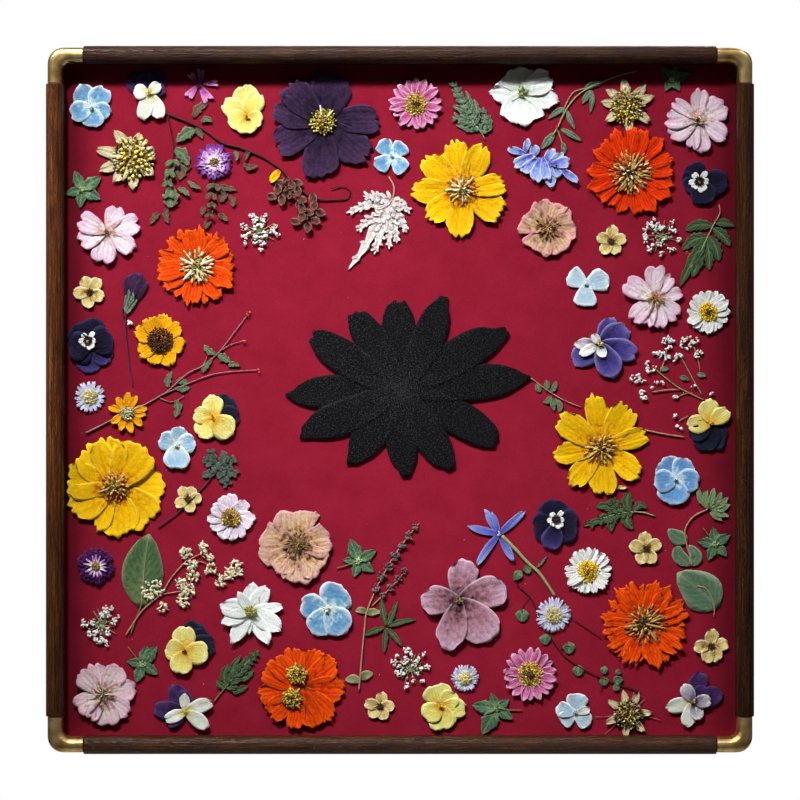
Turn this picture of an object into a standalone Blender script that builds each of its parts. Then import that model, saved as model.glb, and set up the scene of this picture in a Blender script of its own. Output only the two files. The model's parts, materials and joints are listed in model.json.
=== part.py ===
# A square wall frame with brass corners, holding pressed flowers on a red board.
# It hangs upright: X to the right, Z up, the flowers facing -Y.
# The origin is on the flat back of the top rail, where the frame meets the wall.

import math

import bmesh
import bpy
from mathutils import Matrix, Vector

# Driving sizes, in metres
FRAME_SIDE = 0.400
FRAME_DEPTH = 0.0200
RAIL_WIDTH = 0.0101
RAIL_HALF_LENGTH = 0.1786
RAIL_CROWN = 0.0048
RAIL_END_ROUND = 0.0005
REAR_WALL = 0.0051
RABBET_DEPTH = 0.0080
GAP = 0.0003

ELBOW_INSET = 0.0010
ELBOW_LEG = 0.0200
ELBOW_WIDTH = 0.0083
ELBOW_DEPTH = 0.0194
ELBOW_OUTER_RADIUS = 0.0090
ELBOW_INNER_RADIUS = 0.0050
ELBOW_CROWN = 0.0038

BOARD_THICK = 0.0025
BACK_THICK = 0.0030
BOARD_CORNER = 0.0030
HANGER_LENGTH = 0.0460
HANGER_HEIGHT = 0.0100
HANGER_THICK = 0.0010
HANGER_DROP = 0.0140
TOOTH = 0.0016
HANGER_TEETH = 9

PETAL_THICK = 0.0009
CORE_RISE = 0.0012
ORNAMENT_THICK = 0.0012

# The layout is read off a photo, by pixel: x to the right, y down
PHOTO_CENTRE = 400.0
PHOTO_PIXEL = 0.000567
MM = 0.001

HALF = FRAME_SIDE / 2
CENTRE_Z = -(HALF - REAR_WALL / 2)
BOARD_FACE = -(RABBET_DEPTH - GAP)
POCKET_HALF = HALF - REAR_WALL
CIRCLE_POINTS = 10

WALNUT = (0.13, 0.065, 0.038)
BRASS = (0.62, 0.45, 0.16)
RED_PAPER = (0.33, 0.012, 0.035)
GREYBOARD = (0.24, 0.17, 0.11)
STEEL = (0.5, 0.5, 0.5)
BLACK = (0.01, 0.01, 0.012)
BLUE = (0.25, 0.5, 0.8)
CREAM = (0.8, 0.8, 0.6)
YELLOW = (0.9, 0.55, 0.02)
PALE_YELLOW = (0.9, 0.8, 0.2)
ORANGE = (0.85, 0.13, 0.01)
NAVY = (0.02, 0.02, 0.07)
PLUM = (0.04, 0.015, 0.06)
PINK = (0.75, 0.25, 0.5)
BLUSH = (0.85, 0.6, 0.68)
WHITE = (0.85, 0.87, 0.83)
MAUVE = (0.6, 0.32, 0.42)
TAN = (0.6, 0.42, 0.28)
STRAW = (0.65, 0.5, 0.2)
GREEN = (0.08, 0.16, 0.05)

# Petals are (direction in degrees, length in mm, width in mm), anticlockwise from the right.
# A flower also has the pixel of its centre, a colour and the radius of its middle in mm.
PETALLED = {
    "hydrangea_blue_small": ((92, 108), BLUE, 0, [
        (124, 14.5, 12), (58, 13.5, 12), (-15, 11, 9.5), (-88, 11, 12), (195, 12.5, 11.5)]),
    "viola_cream": ((149, 93), CREAM, 0, [
        (-100, 15.8, 8.5), (-63, 16.2, 8.5), (178, 8, 8), (27, 9, 8), (143, 13, 10), (66, 11, 11)]),
    "pansy_yellow": ((247, 117), PALE_YELLOW, 0, [
        (95, 18, 16), (150, 15.5, 12), (195, 11, 12), (-90, 9.5, 12), (-15, 9, 10), (62, 15, 12)]),
    "cosmos_black": ((323, 122), PLUM, 8.0, [
        (105, 27, 20), (75, 28, 24), (6, 32.5, 17), (-42, 33, 20), (-92, 32.5, 21),
        (208, 30.5, 19), (166, 29, 18), (136, 29.5, 18)]),
    "larkspur_white_top": ((522, 92), WHITE, 0, [
        (183, 18, 13), (-92, 19, 25), (-12, 21, 14), (28, 19.5, 15), (105, 14, 22)]),
    "blossom_pink_top_right": ((698, 120), BLUSH, 0, [
        (88, 18, 10), (30, 18, 16), (-30, 19.5, 11), (-82, 19.5, 10), (-105, 17.5, 8),
        (211, 19, 13), (176, 19, 12), (140, 18, 8)]),
    "chamomile_dried_left": ((133, 158), STRAW, 11.5, [
        (121, 18.5, 7), (75, 14.5, 7), (168, 21, 7), (203, 20, 7), (-88, 18, 7),
        (-125, 17.5, 7), (14, 13, 9), (-40, 15, 8)]),
    "blossom_pink_left": ((107, 232), BLUSH, 0, [
        (66, 16, 11), (15, 19.5, 13), (-32, 19, 11), (-75, 17, 6), (-100, 18.5, 14),
        (200, 17, 12), (158, 17.5, 13)]),
    "divided_leaf_silver": ((377, 216), WHITE, 0, [
        (123, 13.5, 6), (176, 17.5, 8), (216, 14, 7), (241.5, 34, 9), (267, 21, 7), (-71, 20, 6),
        (-56, 18.5, 6), (-30, 18.5, 7), (4, 17.5, 9), (48, 13, 9)]),
    "viola_navy_left": ((91, 346), NAVY, 0, [
        (110, 15, 22), (20, 13, 18), (-30, 13.5, 16), (-90, 15.5, 18), (190, 12.5, 20)]),
    "coreopsis_orange": ((160, 340), YELLOW, 7.0, [
        (78, 15, 10), (35, 14.5, 9), (-19, 14.5, 10), (-64, 16, 10), (-104, 14.5, 9),
        (213, 14.5, 10), (162, 15, 10), (118, 14.5, 10)]),
    "viola_yellow_navy_left": ((213, 418), PALE_YELLOW, 0, [
        (85, 13, 11), (160, 11, 10), (235, 11.5, 12), (-35, 12.5, 13), (38, 15, 16), (5, 13, 12)]),
    "hydrangea_pale_left": ((177, 445), BLUE, 0, [
        (160, 10.5, 11), (75, 10.5, 10), (0, 10.5, 11), (-92, 13, 15)]),
    "cosmos_yellow_left": ((115, 487), YELLOW, 7.0, [
        (0, 28, 24), (-42, 29, 22), (-78, 28, 22), (-110, 26.5, 10), (208, 28, 22), (170, 28, 22),
        (130, 28, 24), (98, 28.5, 22), (58, 28, 26)]),
    "daisy_pale_pink": ((231, 517), BLUSH, 5.0, [
        (90, 13.5, 8), (46, 13, 8), (3, 14, 7), (-24, 13, 7), (-57, 13.5, 7), (-84, 13.5, 7),
        (-113, 13.5, 8), (212, 13, 8), (182, 13.5, 7), (152, 12.5, 8), (117, 13, 8)]),
    "ruffled_blossom_peach": ((297, 545), TAN, 0, [
        (95, 20, 26), (175, 21, 25), (232, 18.5, 18), (-88, 22, 18), (-45, 20, 20), (10, 19, 20)]),
    "larkspur_white_bottom": ((251, 611), WHITE, 0, [
        (88, 16, 10), (57, 16.5, 10), (5, 18, 7), (-32, 20, 12), (-62, 21, 9), (-95, 13, 3),
        (-122, 21, 9), (203, 17.5, 9), (170, 17.5, 12), (127, 13, 6)]),
    "hydrangea_blue_large": ((327, 609), BLUE, 0, [
        (55, 15.5, 19), (172, 15, 14), (-115, 16, 15), (-48, 17, 16)]),
    "viola_yellow_navy_bottom": ((185, 651), PALE_YELLOW, 0, [
        (95, 14, 12), (175, 10.5, 10), (-103, 12, 10), (-8, 13, 12), (68, 18, 14), (38, 17, 14),
        (10, 17, 15)]),
    "blossom_pink_bottom": ((103, 694), BLUSH, 0, [
        (108, 18.5, 12), (58, 19, 14), (10, 19.5, 13), (-35, 19, 12), (-80, 19, 14),
        (-115, 16.5, 9), (207, 17.5, 13), (140, 18.5, 12)]),
    "viola_purple_left": ((186, 711), CREAM, 0, [
        (22, 15.5, 8.5), (-35, 15.5, 8.5), (95, 12, 9), (118, 16.5, 11), (178, 18, 11),
        (218, 13, 9)]),
    "cosmos_orange_bottom": ((301, 688), ORANGE, 6.0, [
        (103, 24, 12), (68, 24, 14), (36, 25, 15), (-3, 25, 16), (-42, 25, 14), (-71, 23.5, 14),
        (-98, 24, 10), (220, 24, 14), (190, 24.5, 14), (157, 24, 14), (133, 23.5, 13)]),
    "viola_yellow_bottom": ((441, 706), PALE_YELLOW, 0, [
        (105, 12.5, 17), (40, 11, 12), (-7, 14, 12), (-83, 13.5, 16), (215, 11.5, 13)]),
    "viola_purple_right": ((693, 701), CREAM, 0, [
        (195, 15.5, 9), (-103, 15, 9), (118, 11, 8), (0, 10, 8), (75, 17, 11), (13, 17, 12),
        (42, 11, 10)]),
    "hydrangea_mauve": ((459, 600), MAUVE, 0, [
        (83, 23.5, 17), (17, 28, 18.5), (-50, 29.5, 22), (-102, 29, 17), (178, 21.5, 17)]),
    "viola_navy_middle": ((555, 525), NAVY, 0, [
        (95, 14.5, 17), (190, 12.5, 18), (-5, 13, 20), (-100, 14, 18)]),
    "divided_leaf_right": ((625, 512), GREEN, 0, [
        (196.8, 24, 7), (81, 10, 8), (144, 11, 7), (174, 15.5, 7), (239, 13, 8), (-64, 10, 8),
        (5, 12, 5), (-8, 17, 2)]),
    "hydrangea_sky": ((676, 479), BLUE, 0, [
        (130, 13.5, 15), (55, 13, 13), (-5, 13, 13), (-100, 14.5, 17), (190, 12.5, 13)]),
    "cosmos_yellow_right": ((601, 448), YELLOW, 6.0, [
        (94, 30.5, 14), (55, 29, 17), (16, 27.5, 12), (-34, 27, 14), (-90, 27, 16),
        (-128, 27, 13), (189, 27, 13), (144, 30, 16)]),
    "viola_yellow_navy_right": ((711, 423), PALE_YELLOW, 0, [
        (185, 13.5, 11), (100, 13.5, 12), (38, 12, 10), (-55, 12.5, 12), (-80, 16, 14),
        (-105, 16.5, 16), (-145, 14, 12)]),
    "viola_purple_large": ((600, 344), PLUM, 0, [
        (210, 18.5, 16), (-68, 20.5, 15), (-15, 21.5, 13), (33, 18, 14), (68, 16.5, 10)]),
    "blossom_pink_right": ((655, 298), BLUSH, 0, [
        (92, 19, 12), (55, 16, 9), (8, 16, 8), (-38, 17.5, 11), (-80, 18, 10), (-110, 17, 9),
        (222, 19, 11), (155, 20, 13)]),
    "divided_leaf_top_right": ((704, 243), GREEN, 0, [
        (143, 13, 7), (199, 12.5, 8), (240, 21, 7), (251, 17, 7), (-80, 15, 8), (-49, 12.5, 8),
        (-5, 13.5, 8), (32, 18, 8), (62, 16, 5)]),
    "ruffled_blossom_pink": ((548, 228), TAN, 0, [
        (80, 15.5, 18), (10, 15.5, 18), (-55, 15.5, 18), (-120, 15.5, 18), (150, 15.5, 20)]),
    "viola_navy_top_right": ((698, 180), NAVY, 0, [
        (112, 10, 13), (180, 9, 10), (-72, 14.5, 15), (-12, 17, 16), (215, 9, 10)]),
    "cosmos_yellow_top": ((462, 190), YELLOW, 7.0, [
        (102, 28.5, 16), (64, 28, 16), (140, 28, 16), (185, 28.5, 15), (220, 25.5, 14),
        (-92, 27, 16), (-32, 27, 17), (8, 25, 13)]),
}

# Flowers with equal rays: pixel of the centre, colour, middle radius in mm, number of rays,
# length in mm, width in mm
RAYED = {
    "daisy_pink_top": ((416, 104), PINK, 6.5, 16, 15.5, 5.5),
    "cosmos_orange_left": ((197, 266), ORANGE, 8.0, 11, 23.0, 13.5),
    "daisy_pink_bottom": ((530, 674), PINK, 7.0, 16, 16.0, 5.5),
    "cosmos_orange_right": ((645, 624), ORANGE, 9.0, 13, 25.0, 13.0),
    "daisy_white_bottom": ((588, 571), WHITE, 6.0, 14, 13.8, 5.5),
    "daisy_white_right": ((708, 312), WHITE, 5.0, 14, 13.0, 5.5),
    "cosmos_red_top": ((630, 174), ORANGE, 10.0, 13, 25.0, 13.0),
}

# The spray of brush strokes in the middle of the board, in the same form as the petals
SPRAY_CENTRE = (402, 391)
SPRAY = [
    (178, 64, 17), (152, 61, 18), (121, 53, 17), (92, 52, 18), (62, 58, 17), (33, 68, 19),
    (6, 71, 18), (-24, 62, 18), (-58, 52, 17), (-92, 48, 16), (-125, 50, 17), (-155, 62, 18),
]

# The oval leaf, from its base to its tip, by pixel
LEAF_BASE = (141, 606)
LEAF_TIP = (149, 535)
LEAF_WIDTH = 0.0230
LEAF_STEPS = 8


def new_collection(name):
    collection = bpy.data.collections.new(name)
    bpy.context.scene.collection.children.link(collection)
    return collection


for old in list(bpy.data.objects):
    bpy.data.objects.remove(old, do_unlink=True)

parts = new_collection("pressed_flower_frame")
cutters = new_collection("cutters")


def material(name, colour, roughness, metallic=0.0):
    made = bpy.data.materials.new(name)
    made.use_nodes = True
    shader = made.node_tree.nodes["Principled BSDF"]
    shader.inputs["Base Color"].default_value = (*colour, 1)
    shader.inputs["Roughness"].default_value = roughness
    shader.inputs["Metallic"].default_value = metallic
    return made


def place(name, mesh, made, collection=None):
    obj = bpy.data.objects.new(name, mesh)
    if made:
        mesh.materials.clear()
        mesh.materials.append(made)
    (collection or parts).objects.link(obj)
    return obj


def slab(name, outlines, thick, rounding=0.0):
    """A closed flat mesh in XY, centred on Z, from one outline and its holes."""
    curve = bpy.data.curves.new(name, "CURVE")
    curve.dimensions = "2D"
    curve.fill_mode = "BOTH"
    curve.extrude = thick / 2 - rounding
    curve.bevel_depth = rounding
    curve.offset = -rounding
    curve.bevel_resolution = 1
    for outline in outlines:
        spline = curve.splines.new("POLY")
        spline.points.add(len(outline) - 1)
        for point, (x, y) in zip(spline.points, outline):
            point.co = (x, y, 0, 1)
        spline.use_cyclic_u = True
    obj = bpy.data.objects.new(name, curve)
    bpy.context.scene.collection.objects.link(obj)
    graph = bpy.context.evaluated_depsgraph_get()
    mesh = bpy.data.meshes.new_from_object(obj.evaluated_get(graph))
    bpy.data.objects.remove(obj, do_unlink=True)
    tidy = bmesh.new()
    tidy.from_mesh(mesh)
    bmesh.ops.remove_doubles(tidy, verts=tidy.verts, dist=1e-6)
    bmesh.ops.dissolve_limit(
        tidy, angle_limit=math.radians(0.5), verts=tidy.verts, edges=tidy.edges)
    bmesh.ops.recalc_face_normals(tidy, faces=tidy.faces)
    tidy.to_mesh(mesh)
    tidy.free()
    mesh.name = name
    return mesh


# Turns a slab's XY into the frame's XZ, with the slab's +Z facing the viewer
FACING = Matrix.Rotation(math.radians(90), 4, "X")


def stand(mesh, front, thick):
    """Stands a slab up behind the plane y = front."""
    mesh.transform(Matrix.Translation((0, front + thick / 2, 0)) @ FACING)
    return mesh


def rounded_square(half, radius, steps=4):
    points = []
    for quarter in range(4):
        turn = math.radians(90 * quarter)
        for step in range(steps + 1):
            angle = turn + math.radians(90) * step / steps
            reach = half - radius
            sign_x = 1 if quarter in (0, 3) else -1
            sign_y = 1 if quarter in (0, 1) else -1
            points.append((sign_x * reach + radius * math.cos(angle),
                           sign_y * reach + radius * math.sin(angle)))
    return points


def pocket():
    """The space behind the rails' lips that takes the boards."""
    depth = RABBET_DEPTH + 0.002
    mesh = slab("pocket", [rounded_square(POCKET_HALF, BOARD_CORNER + GAP)], depth)
    stand(mesh, -RABBET_DEPTH, depth)
    obj = place("pocket", mesh, None, cutters)
    obj.location = (0, 0, CENTRE_Z)
    obj.hide_render = True
    obj.display_type = "WIRE"
    return obj


def cut(obj, cutter):
    boolean = obj.modifiers.new("rabbet", "BOOLEAN")
    boolean.operation = "DIFFERENCE"
    boolean.solver = "EXACT"
    boolean.object = cutter


def rail_mesh():
    """The top rail about the frame's centre: half round in front, flat behind."""
    crown = []
    for step in range(CIRCLE_POINTS + 1):
        angle = math.pi * step / CIRCLE_POINTS
        across = HALF - RAIL_WIDTH / 2 + RAIL_WIDTH / 2 * math.cos(angle)
        front = FRAME_DEPTH - RAIL_CROWN + RAIL_CROWN * math.sin(angle)
        crown.append((across, front))
    outline = crown + [(HALF - RAIL_WIDTH, 0), (HALF, 0)]
    mesh = slab("rail", [outline], 2 * RAIL_HALF_LENGTH, RAIL_END_ROUND)
    # Outline x becomes height, outline y becomes distance forward, its depth lies along X
    mesh.transform(Matrix(((0, 0, 1, 0), (0, -1, 0, 0), (1, 0, 0, 0), (0, 0, 0, 1))))
    return mesh


def elbow_outline():
    """The top right corner piece about the frame's centre."""
    outer = HALF - ELBOW_INSET
    inner = outer - ELBOW_WIDTH
    end = outer - ELBOW_LEG
    points = [(end, outer)]
    points += fillet((outer, outer), ELBOW_OUTER_RADIUS, 90, 6, 1)
    points += [(outer, end), (inner, end)]
    points += fillet((inner, inner), ELBOW_INNER_RADIUS, 0, 5, -1)
    points += [(end, inner)]
    return points


def fillet(corner, radius, start, steps, turn):
    """Points of a rounded corner whose legs run to -x and -y."""
    centre = (corner[0] - radius, corner[1] - radius)
    points = []
    for step in range(steps + 1):
        angle = math.radians(start - turn * 90 * step / steps)
        points.append((centre[0] + radius * math.cos(angle), centre[1] + radius * math.sin(angle)))
    return points


def elbow_mesh():
    mesh = slab("elbow", [elbow_outline()], ELBOW_DEPTH)
    stand(mesh, -ELBOW_DEPTH, ELBOW_DEPTH)
    end = HALF - ELBOW_INSET - ELBOW_LEG
    tidy = bmesh.new()
    tidy.from_mesh(mesh)
    front = []
    for edge in tidy.edges:
        ends = [vert.co for vert in edge.verts]
        at_front = all(co.y < -ELBOW_DEPTH + 1e-5 for co in ends)
        at_end_x = all(abs(co.x - end) < 1e-5 for co in ends)
        at_end_z = all(abs(co.z - end) < 1e-5 for co in ends)
        if at_front and not at_end_x and not at_end_z:
            front.append(edge)
    bmesh.ops.bevel(tidy, geom=front, offset=ELBOW_CROWN, segments=5, profile=0.5,
                    affect="EDGES", clamp_overlap=False)
    bmesh.ops.recalc_face_normals(tidy, faces=tidy.faces)
    tidy.to_mesh(mesh)
    tidy.free()
    return mesh


def frame_sides(cutter):
    rail = rail_mesh()
    elbow = elbow_mesh()
    sides = ("top", "right", "bottom", "left")
    corners = ("top_right", "bottom_right", "bottom_left", "top_left")
    for turn in range(4):
        angle = math.radians(90 * turn)
        side = place("rail_" + sides[turn], rail.copy(), material("walnut_" + sides[turn], WALNUT, 0.5))
        corner = place("corner_" + corners[turn], elbow.copy(),
                       material("brass_" + corners[turn], BRASS, 0.28, 1.0))
        for obj in (side, corner):
            obj.rotation_euler = (0, angle, 0)
            obj.location = (0, 0, CENTRE_Z)
            cut(obj, cutter)


def boards():
    half = POCKET_HALF - GAP
    outline = rounded_square(half, BOARD_CORNER)
    board = slab("mounting_board", [outline], BOARD_THICK)
    stand(board, BOARD_FACE, BOARD_THICK)
    back = slab("back_board", [outline], BACK_THICK)
    stand(back, BOARD_FACE + BOARD_THICK + GAP, BACK_THICK)
    front_obj = place("mounting_board", board, material("red_paper", RED_PAPER, 0.9))
    back_obj = place("back_board", back, material("greyboard", GREYBOARD, 0.9))
    front_obj.location = (0, 0, CENTRE_Z)
    back_obj.location = (0, 0, CENTRE_Z)


def hanger():
    """A saw-tooth plate on the back board, inside the frame's back plane."""
    half = HANGER_LENGTH / 2
    outline = [(-half, HANGER_HEIGHT / 2), (-half, -HANGER_HEIGHT / 2)]
    pitch = (HANGER_LENGTH - 0.014) / HANGER_TEETH
    for tooth in range(HANGER_TEETH):
        left = -HANGER_TEETH * pitch / 2 + tooth * pitch
        outline.append((left, -HANGER_HEIGHT / 2))
        outline.append((left + pitch / 2, -HANGER_HEIGHT / 2 + TOOTH))
    outline += [(half - 0.007, -HANGER_HEIGHT / 2), (half, -HANGER_HEIGHT / 2),
                (half, HANGER_HEIGHT / 2)]
    holes = []
    for side in (-1, 1):
        holes.append([(side * (half - 0.0035) + 0.0012 * math.cos(math.tau * k / 8),
                       0.0012 * math.sin(math.tau * k / 8)) for k in range(8)])
    front = BOARD_FACE + BOARD_THICK + BACK_THICK + 2 * GAP
    mesh = slab("hanger", [outline] + holes, HANGER_THICK)
    stand(mesh, front, HANGER_THICK)
    obj = place("hanger", mesh, material("plated_steel", STEEL, 0.35, 1.0))
    obj.location = (0, 0, -HANGER_DROP)


def spot(pixel):
    """The place on the board, in X and Z about the frame's centre, of a photo pixel."""
    return ((pixel[0] - PHOTO_CENTRE) * PHOTO_PIXEL, (PHOTO_CENTRE - pixel[1]) * PHOTO_PIXEL)


def petal_reach(theta, direction, length, width):
    """How far from the centre a ray at angle theta leaves one petal."""
    away = theta - math.radians(direction)
    along = math.cos(away)
    across = abs(math.sin(away))
    if along <= 0:
        return 0.0
    steps = 60
    for step in range(steps, 0, -1):
        reach = length * step / steps
        part = reach * along / length
        half_width = width / 2 * math.sin(math.pi * min(1.0, part) ** 1.5) ** 0.6
        if reach * across <= half_width:
            return reach
    return 0.0


def star_outline(centre, petals, least):
    """The outline of all petals together, with points at tips, shoulders and the valleys."""
    ordered = sorted((direction % 360, length, width) for direction, length, width in petals)
    angles = []
    for index, (direction, length, width) in enumerate(ordered):
        following = ordered[(index + 1) % len(ordered)][0]
        span = (following - direction) % 360
        for part in (0, 0.25, 0.5, 0.75):
            angles.append(math.radians(direction + span * part))
    points = []
    for theta in angles:
        reach = max(petal_reach(theta, *petal) for petal in petals)
        reach = max(reach, least) * MM
        points.append((centre[0] + reach * math.cos(theta), centre[1] + reach * math.sin(theta)))
    return points


def fuse(mesh, other):
    """Joins a second closed mesh to the first."""
    base = place("base", mesh, None)
    tool = place("tool", other, None)
    boolean = base.modifiers.new("join", "BOOLEAN")
    boolean.operation = "UNION"
    boolean.solver = "EXACT"
    boolean.object = tool
    graph = bpy.context.evaluated_depsgraph_get()
    joined = bpy.data.meshes.new_from_object(base.evaluated_get(graph))
    bpy.data.objects.remove(base, do_unlink=True)
    bpy.data.objects.remove(tool, do_unlink=True)
    return joined


def core_mesh(centre, radius, front):
    """The low middle of a flower, sunk into its petals."""
    built = bmesh.new()
    height = CORE_RISE + PETAL_THICK / 2
    bmesh.ops.create_cone(built, cap_ends=True, segments=9, radius1=radius, radius2=radius * 0.6,
                          depth=height)
    place_it = Matrix.Translation((centre[0], front + PETAL_THICK / 2 - height / 2, centre[1]))
    bmesh.ops.transform(built, matrix=place_it @ FACING, verts=built.verts)
    mesh = bpy.data.meshes.new("middle")
    built.to_mesh(mesh)
    built.free()
    return mesh


def specimen(name, centre, colour, core, petals):
    middle = spot(centre)
    least = core + 0.8 if core else 3.0
    front = BOARD_FACE - GAP - PETAL_THICK
    mesh = slab(name, [star_outline(middle, petals, least)], PETAL_THICK)
    stand(mesh, front, PETAL_THICK)
    if core:
        mesh = fuse(mesh, core_mesh(middle, core * MM, front))
    obj = place(name, mesh, material("petal_" + name, colour, 0.7))
    obj.location = (0, 0, CENTRE_Z)


def flowers():
    for name, (centre, colour, core, petals) in PETALLED.items():
        specimen(name, centre, colour, core, petals)
    for name, (centre, colour, core, count, length, width) in RAYED.items():
        petals = [(360 * ray / count, length, width) for ray in range(count)]
        specimen(name, centre, colour, core, petals)


def oval_leaf():
    base = Vector(spot(LEAF_BASE))
    tip = Vector(spot(LEAF_TIP))
    along = tip - base
    side = Vector((-along.y, along.x)).normalized()
    left = []
    right = []
    for step in range(1, LEAF_STEPS):
        part = step / LEAF_STEPS
        half_width = LEAF_WIDTH / 2 * math.sin(math.pi * part ** 0.85) ** 0.75
        middle = base + along * part
        left.append(tuple(middle + side * half_width))
        right.append(tuple(middle - side * half_width))
    outline = [tuple(base)] + right + [tuple(tip)] + left[::-1]
    mesh = slab("oval_leaf", [outline], PETAL_THICK)
    stand(mesh, BOARD_FACE - GAP - PETAL_THICK, PETAL_THICK)
    obj = place("oval_leaf", mesh, material("leaf_green", GREEN, 0.6))
    obj.location = (0, 0, CENTRE_Z)


def ornament():
    outline = star_outline(spot(SPRAY_CENTRE), SPRAY, 9.0)
    mesh = slab("ornament", [outline], ORNAMENT_THICK)
    stand(mesh, BOARD_FACE - GAP - ORNAMENT_THICK, ORNAMENT_THICK)
    obj = place("ornament", mesh, material("black_glitter", BLACK, 0.6))
    obj.location = (0, 0, CENTRE_Z)


frame_sides(pocket())
boards()
hanger()
flowers()
oval_leaf()
ornament()
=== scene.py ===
import json
import math

import bpy
import numpy as np
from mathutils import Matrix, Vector


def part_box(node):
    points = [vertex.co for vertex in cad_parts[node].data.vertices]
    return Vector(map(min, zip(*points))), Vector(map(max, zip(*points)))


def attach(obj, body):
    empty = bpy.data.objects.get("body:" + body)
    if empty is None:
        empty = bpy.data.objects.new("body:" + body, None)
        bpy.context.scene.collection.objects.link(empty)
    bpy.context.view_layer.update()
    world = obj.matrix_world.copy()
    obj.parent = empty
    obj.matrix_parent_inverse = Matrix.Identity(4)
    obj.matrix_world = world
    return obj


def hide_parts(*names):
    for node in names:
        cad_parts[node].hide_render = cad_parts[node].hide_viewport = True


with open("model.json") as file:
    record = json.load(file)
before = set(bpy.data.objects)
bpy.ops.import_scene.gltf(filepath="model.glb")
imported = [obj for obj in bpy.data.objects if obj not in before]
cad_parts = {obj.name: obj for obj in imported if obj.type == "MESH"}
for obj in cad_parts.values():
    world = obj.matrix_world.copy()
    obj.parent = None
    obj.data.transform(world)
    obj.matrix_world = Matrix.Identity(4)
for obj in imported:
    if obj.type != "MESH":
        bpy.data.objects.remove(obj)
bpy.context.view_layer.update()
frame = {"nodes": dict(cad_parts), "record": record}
print("frame loaded:", len(frame["nodes"]), "nodes")

# Specimens are laid out in millimetres on the board: x right, y up, z towards the viewer,
# from the board's middle. Their places are read off the photo by pixel.
photo = {"centre": 400.0, "boardPixel": 0.567, "frontPixel": 0.5634}
boardLow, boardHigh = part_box("mounting_board")
boardMiddle = (boardLow + boardHigh) / 2
boardFront = boardLow.y


def spot(px, py):
    scale = photo["boardPixel"]
    return np.array([(px - photo["centre"]) * scale, (photo["centre"] - py) * scale])


def toLinear(hexText):
    channels = [int(hexText[i:i + 2], 16) / 255 for i in (1, 3, 5)]
    return tuple(c / 12.92 if c <= 0.04045 else ((c + 0.055) / 1.055) ** 2.4 for c in channels) + (1.0,)


# Adds a node with its settings; an input is a value or the socket that feeds it
def addNode(tree, kind, inputs=None, **settings):
    node = tree.nodes.new(kind)
    for key, value in settings.items():
        setattr(node, key, value)
    for socket, value in (inputs or {}).items():
        if isinstance(value, bpy.types.NodeSocket):
            tree.links.new(value, node.inputs[socket])
        else:
            node.inputs[socket].default_value = value
    return node


# Short forms of the nodes that are used most; each gives the socket of its result
def calc(tree, operation, *values):
    return addNode(tree, "ShaderNodeMath", dict(enumerate(values)), operation=operation).outputs[0]


def remap(tree, value, fromMin, fromMax, toMin, toMax):
    return addNode(tree, "ShaderNodeMapRange", {
        "Value": value, "From Min": fromMin, "From Max": fromMax, "To Min": toMin,
        "To Max": toMax}).outputs[0]


def noise(tree, place, scale, detail, roughness=0.5, distortion=0.0):
    return addNode(tree, "ShaderNodeTexNoise", {
        "Vector": place, "Scale": scale, "Detail": detail, "Roughness": roughness,
        "Distortion": distortion}).outputs["Fac"]


def blend(tree, share, below, above):
    return addNode(tree, "ShaderNodeMix", {"Factor": share, 6: below, 7: toLinear(above)},
                   data_type="RGBA").outputs[2]


def dim(tree, value, colour):
    return addNode(tree, "ShaderNodeHueSaturation", {"Value": value, "Color": colour}).outputs[0]


def ramp(tree, value, stops):
    node = addNode(tree, "ShaderNodeValToRGB", {"Fac": value})
    elements = node.color_ramp.elements
    while len(elements) < len(stops):
        elements.new(0.5)
    for element, (place, colour) in zip(elements, stops):
        element.position = place
        element.color = toLinear(colour)
    return node.outputs["Color"]


def newMaterial(name, roughness, metallic=0.0, specular=0.5):
    material = bpy.data.materials.new(name)
    material.use_nodes = True
    tree = material.node_tree
    shader = tree.nodes["Principled BSDF"]
    shader.inputs["Roughness"].default_value = roughness
    shader.inputs["Metallic"].default_value = metallic
    shader.inputs["Specular IOR Level"].default_value = specular
    return material, tree, shader, addNode(tree, "ShaderNodeTexCoord").outputs["Object"]


def endMaterial(tree, shader, colour, height=None, strength=0.0, distance=0.0):
    tree.links.new(colour, shader.inputs["Base Color"])
    if height is not None:
        bump = addNode(tree, "ShaderNodeBump", {"Strength": strength, "Distance": distance, "Height": height})
        tree.links.new(bump.outputs[0], shader.inputs["Normal"])


# Frame
# Oiled walnut: long dark streaks along the rail, short open pores and a pebbled, worn surface.
# Sizes are widths and lengths in millimetres. paintedRailLight: painted light and shade, how light
# each rail is drawn for how the lamps fall on it. The side rails get painted shade lower down, to the
# share paintedFootDim between two heights in metres. The left rail is painted lighter on its outer
# half and darker on its inner half, as if lit from the left.
walnut = {"dark": "#260f06", "mid": "#522a0e", "light": "#7c4a1e", "bloom": "#7c5840", "pore": "#120603",
          "streakSize": (1.1, 26.0), "poreSize": (0.35, 3.2), "pebble": 1.3, "roughness": 0.36,
          "paintedRailLight": {"top": 0.5, "right": 0.66, "bottom": 0.62, "left": 1.5},
          "paintedFootDim": 0.6, "paintedDimHeights": (-0.37, -0.14),
          "leftPaintedLitAndShaded": (1.15, 0.75), "leftPaintedSpan": (-0.1965, -0.1930)}


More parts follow.
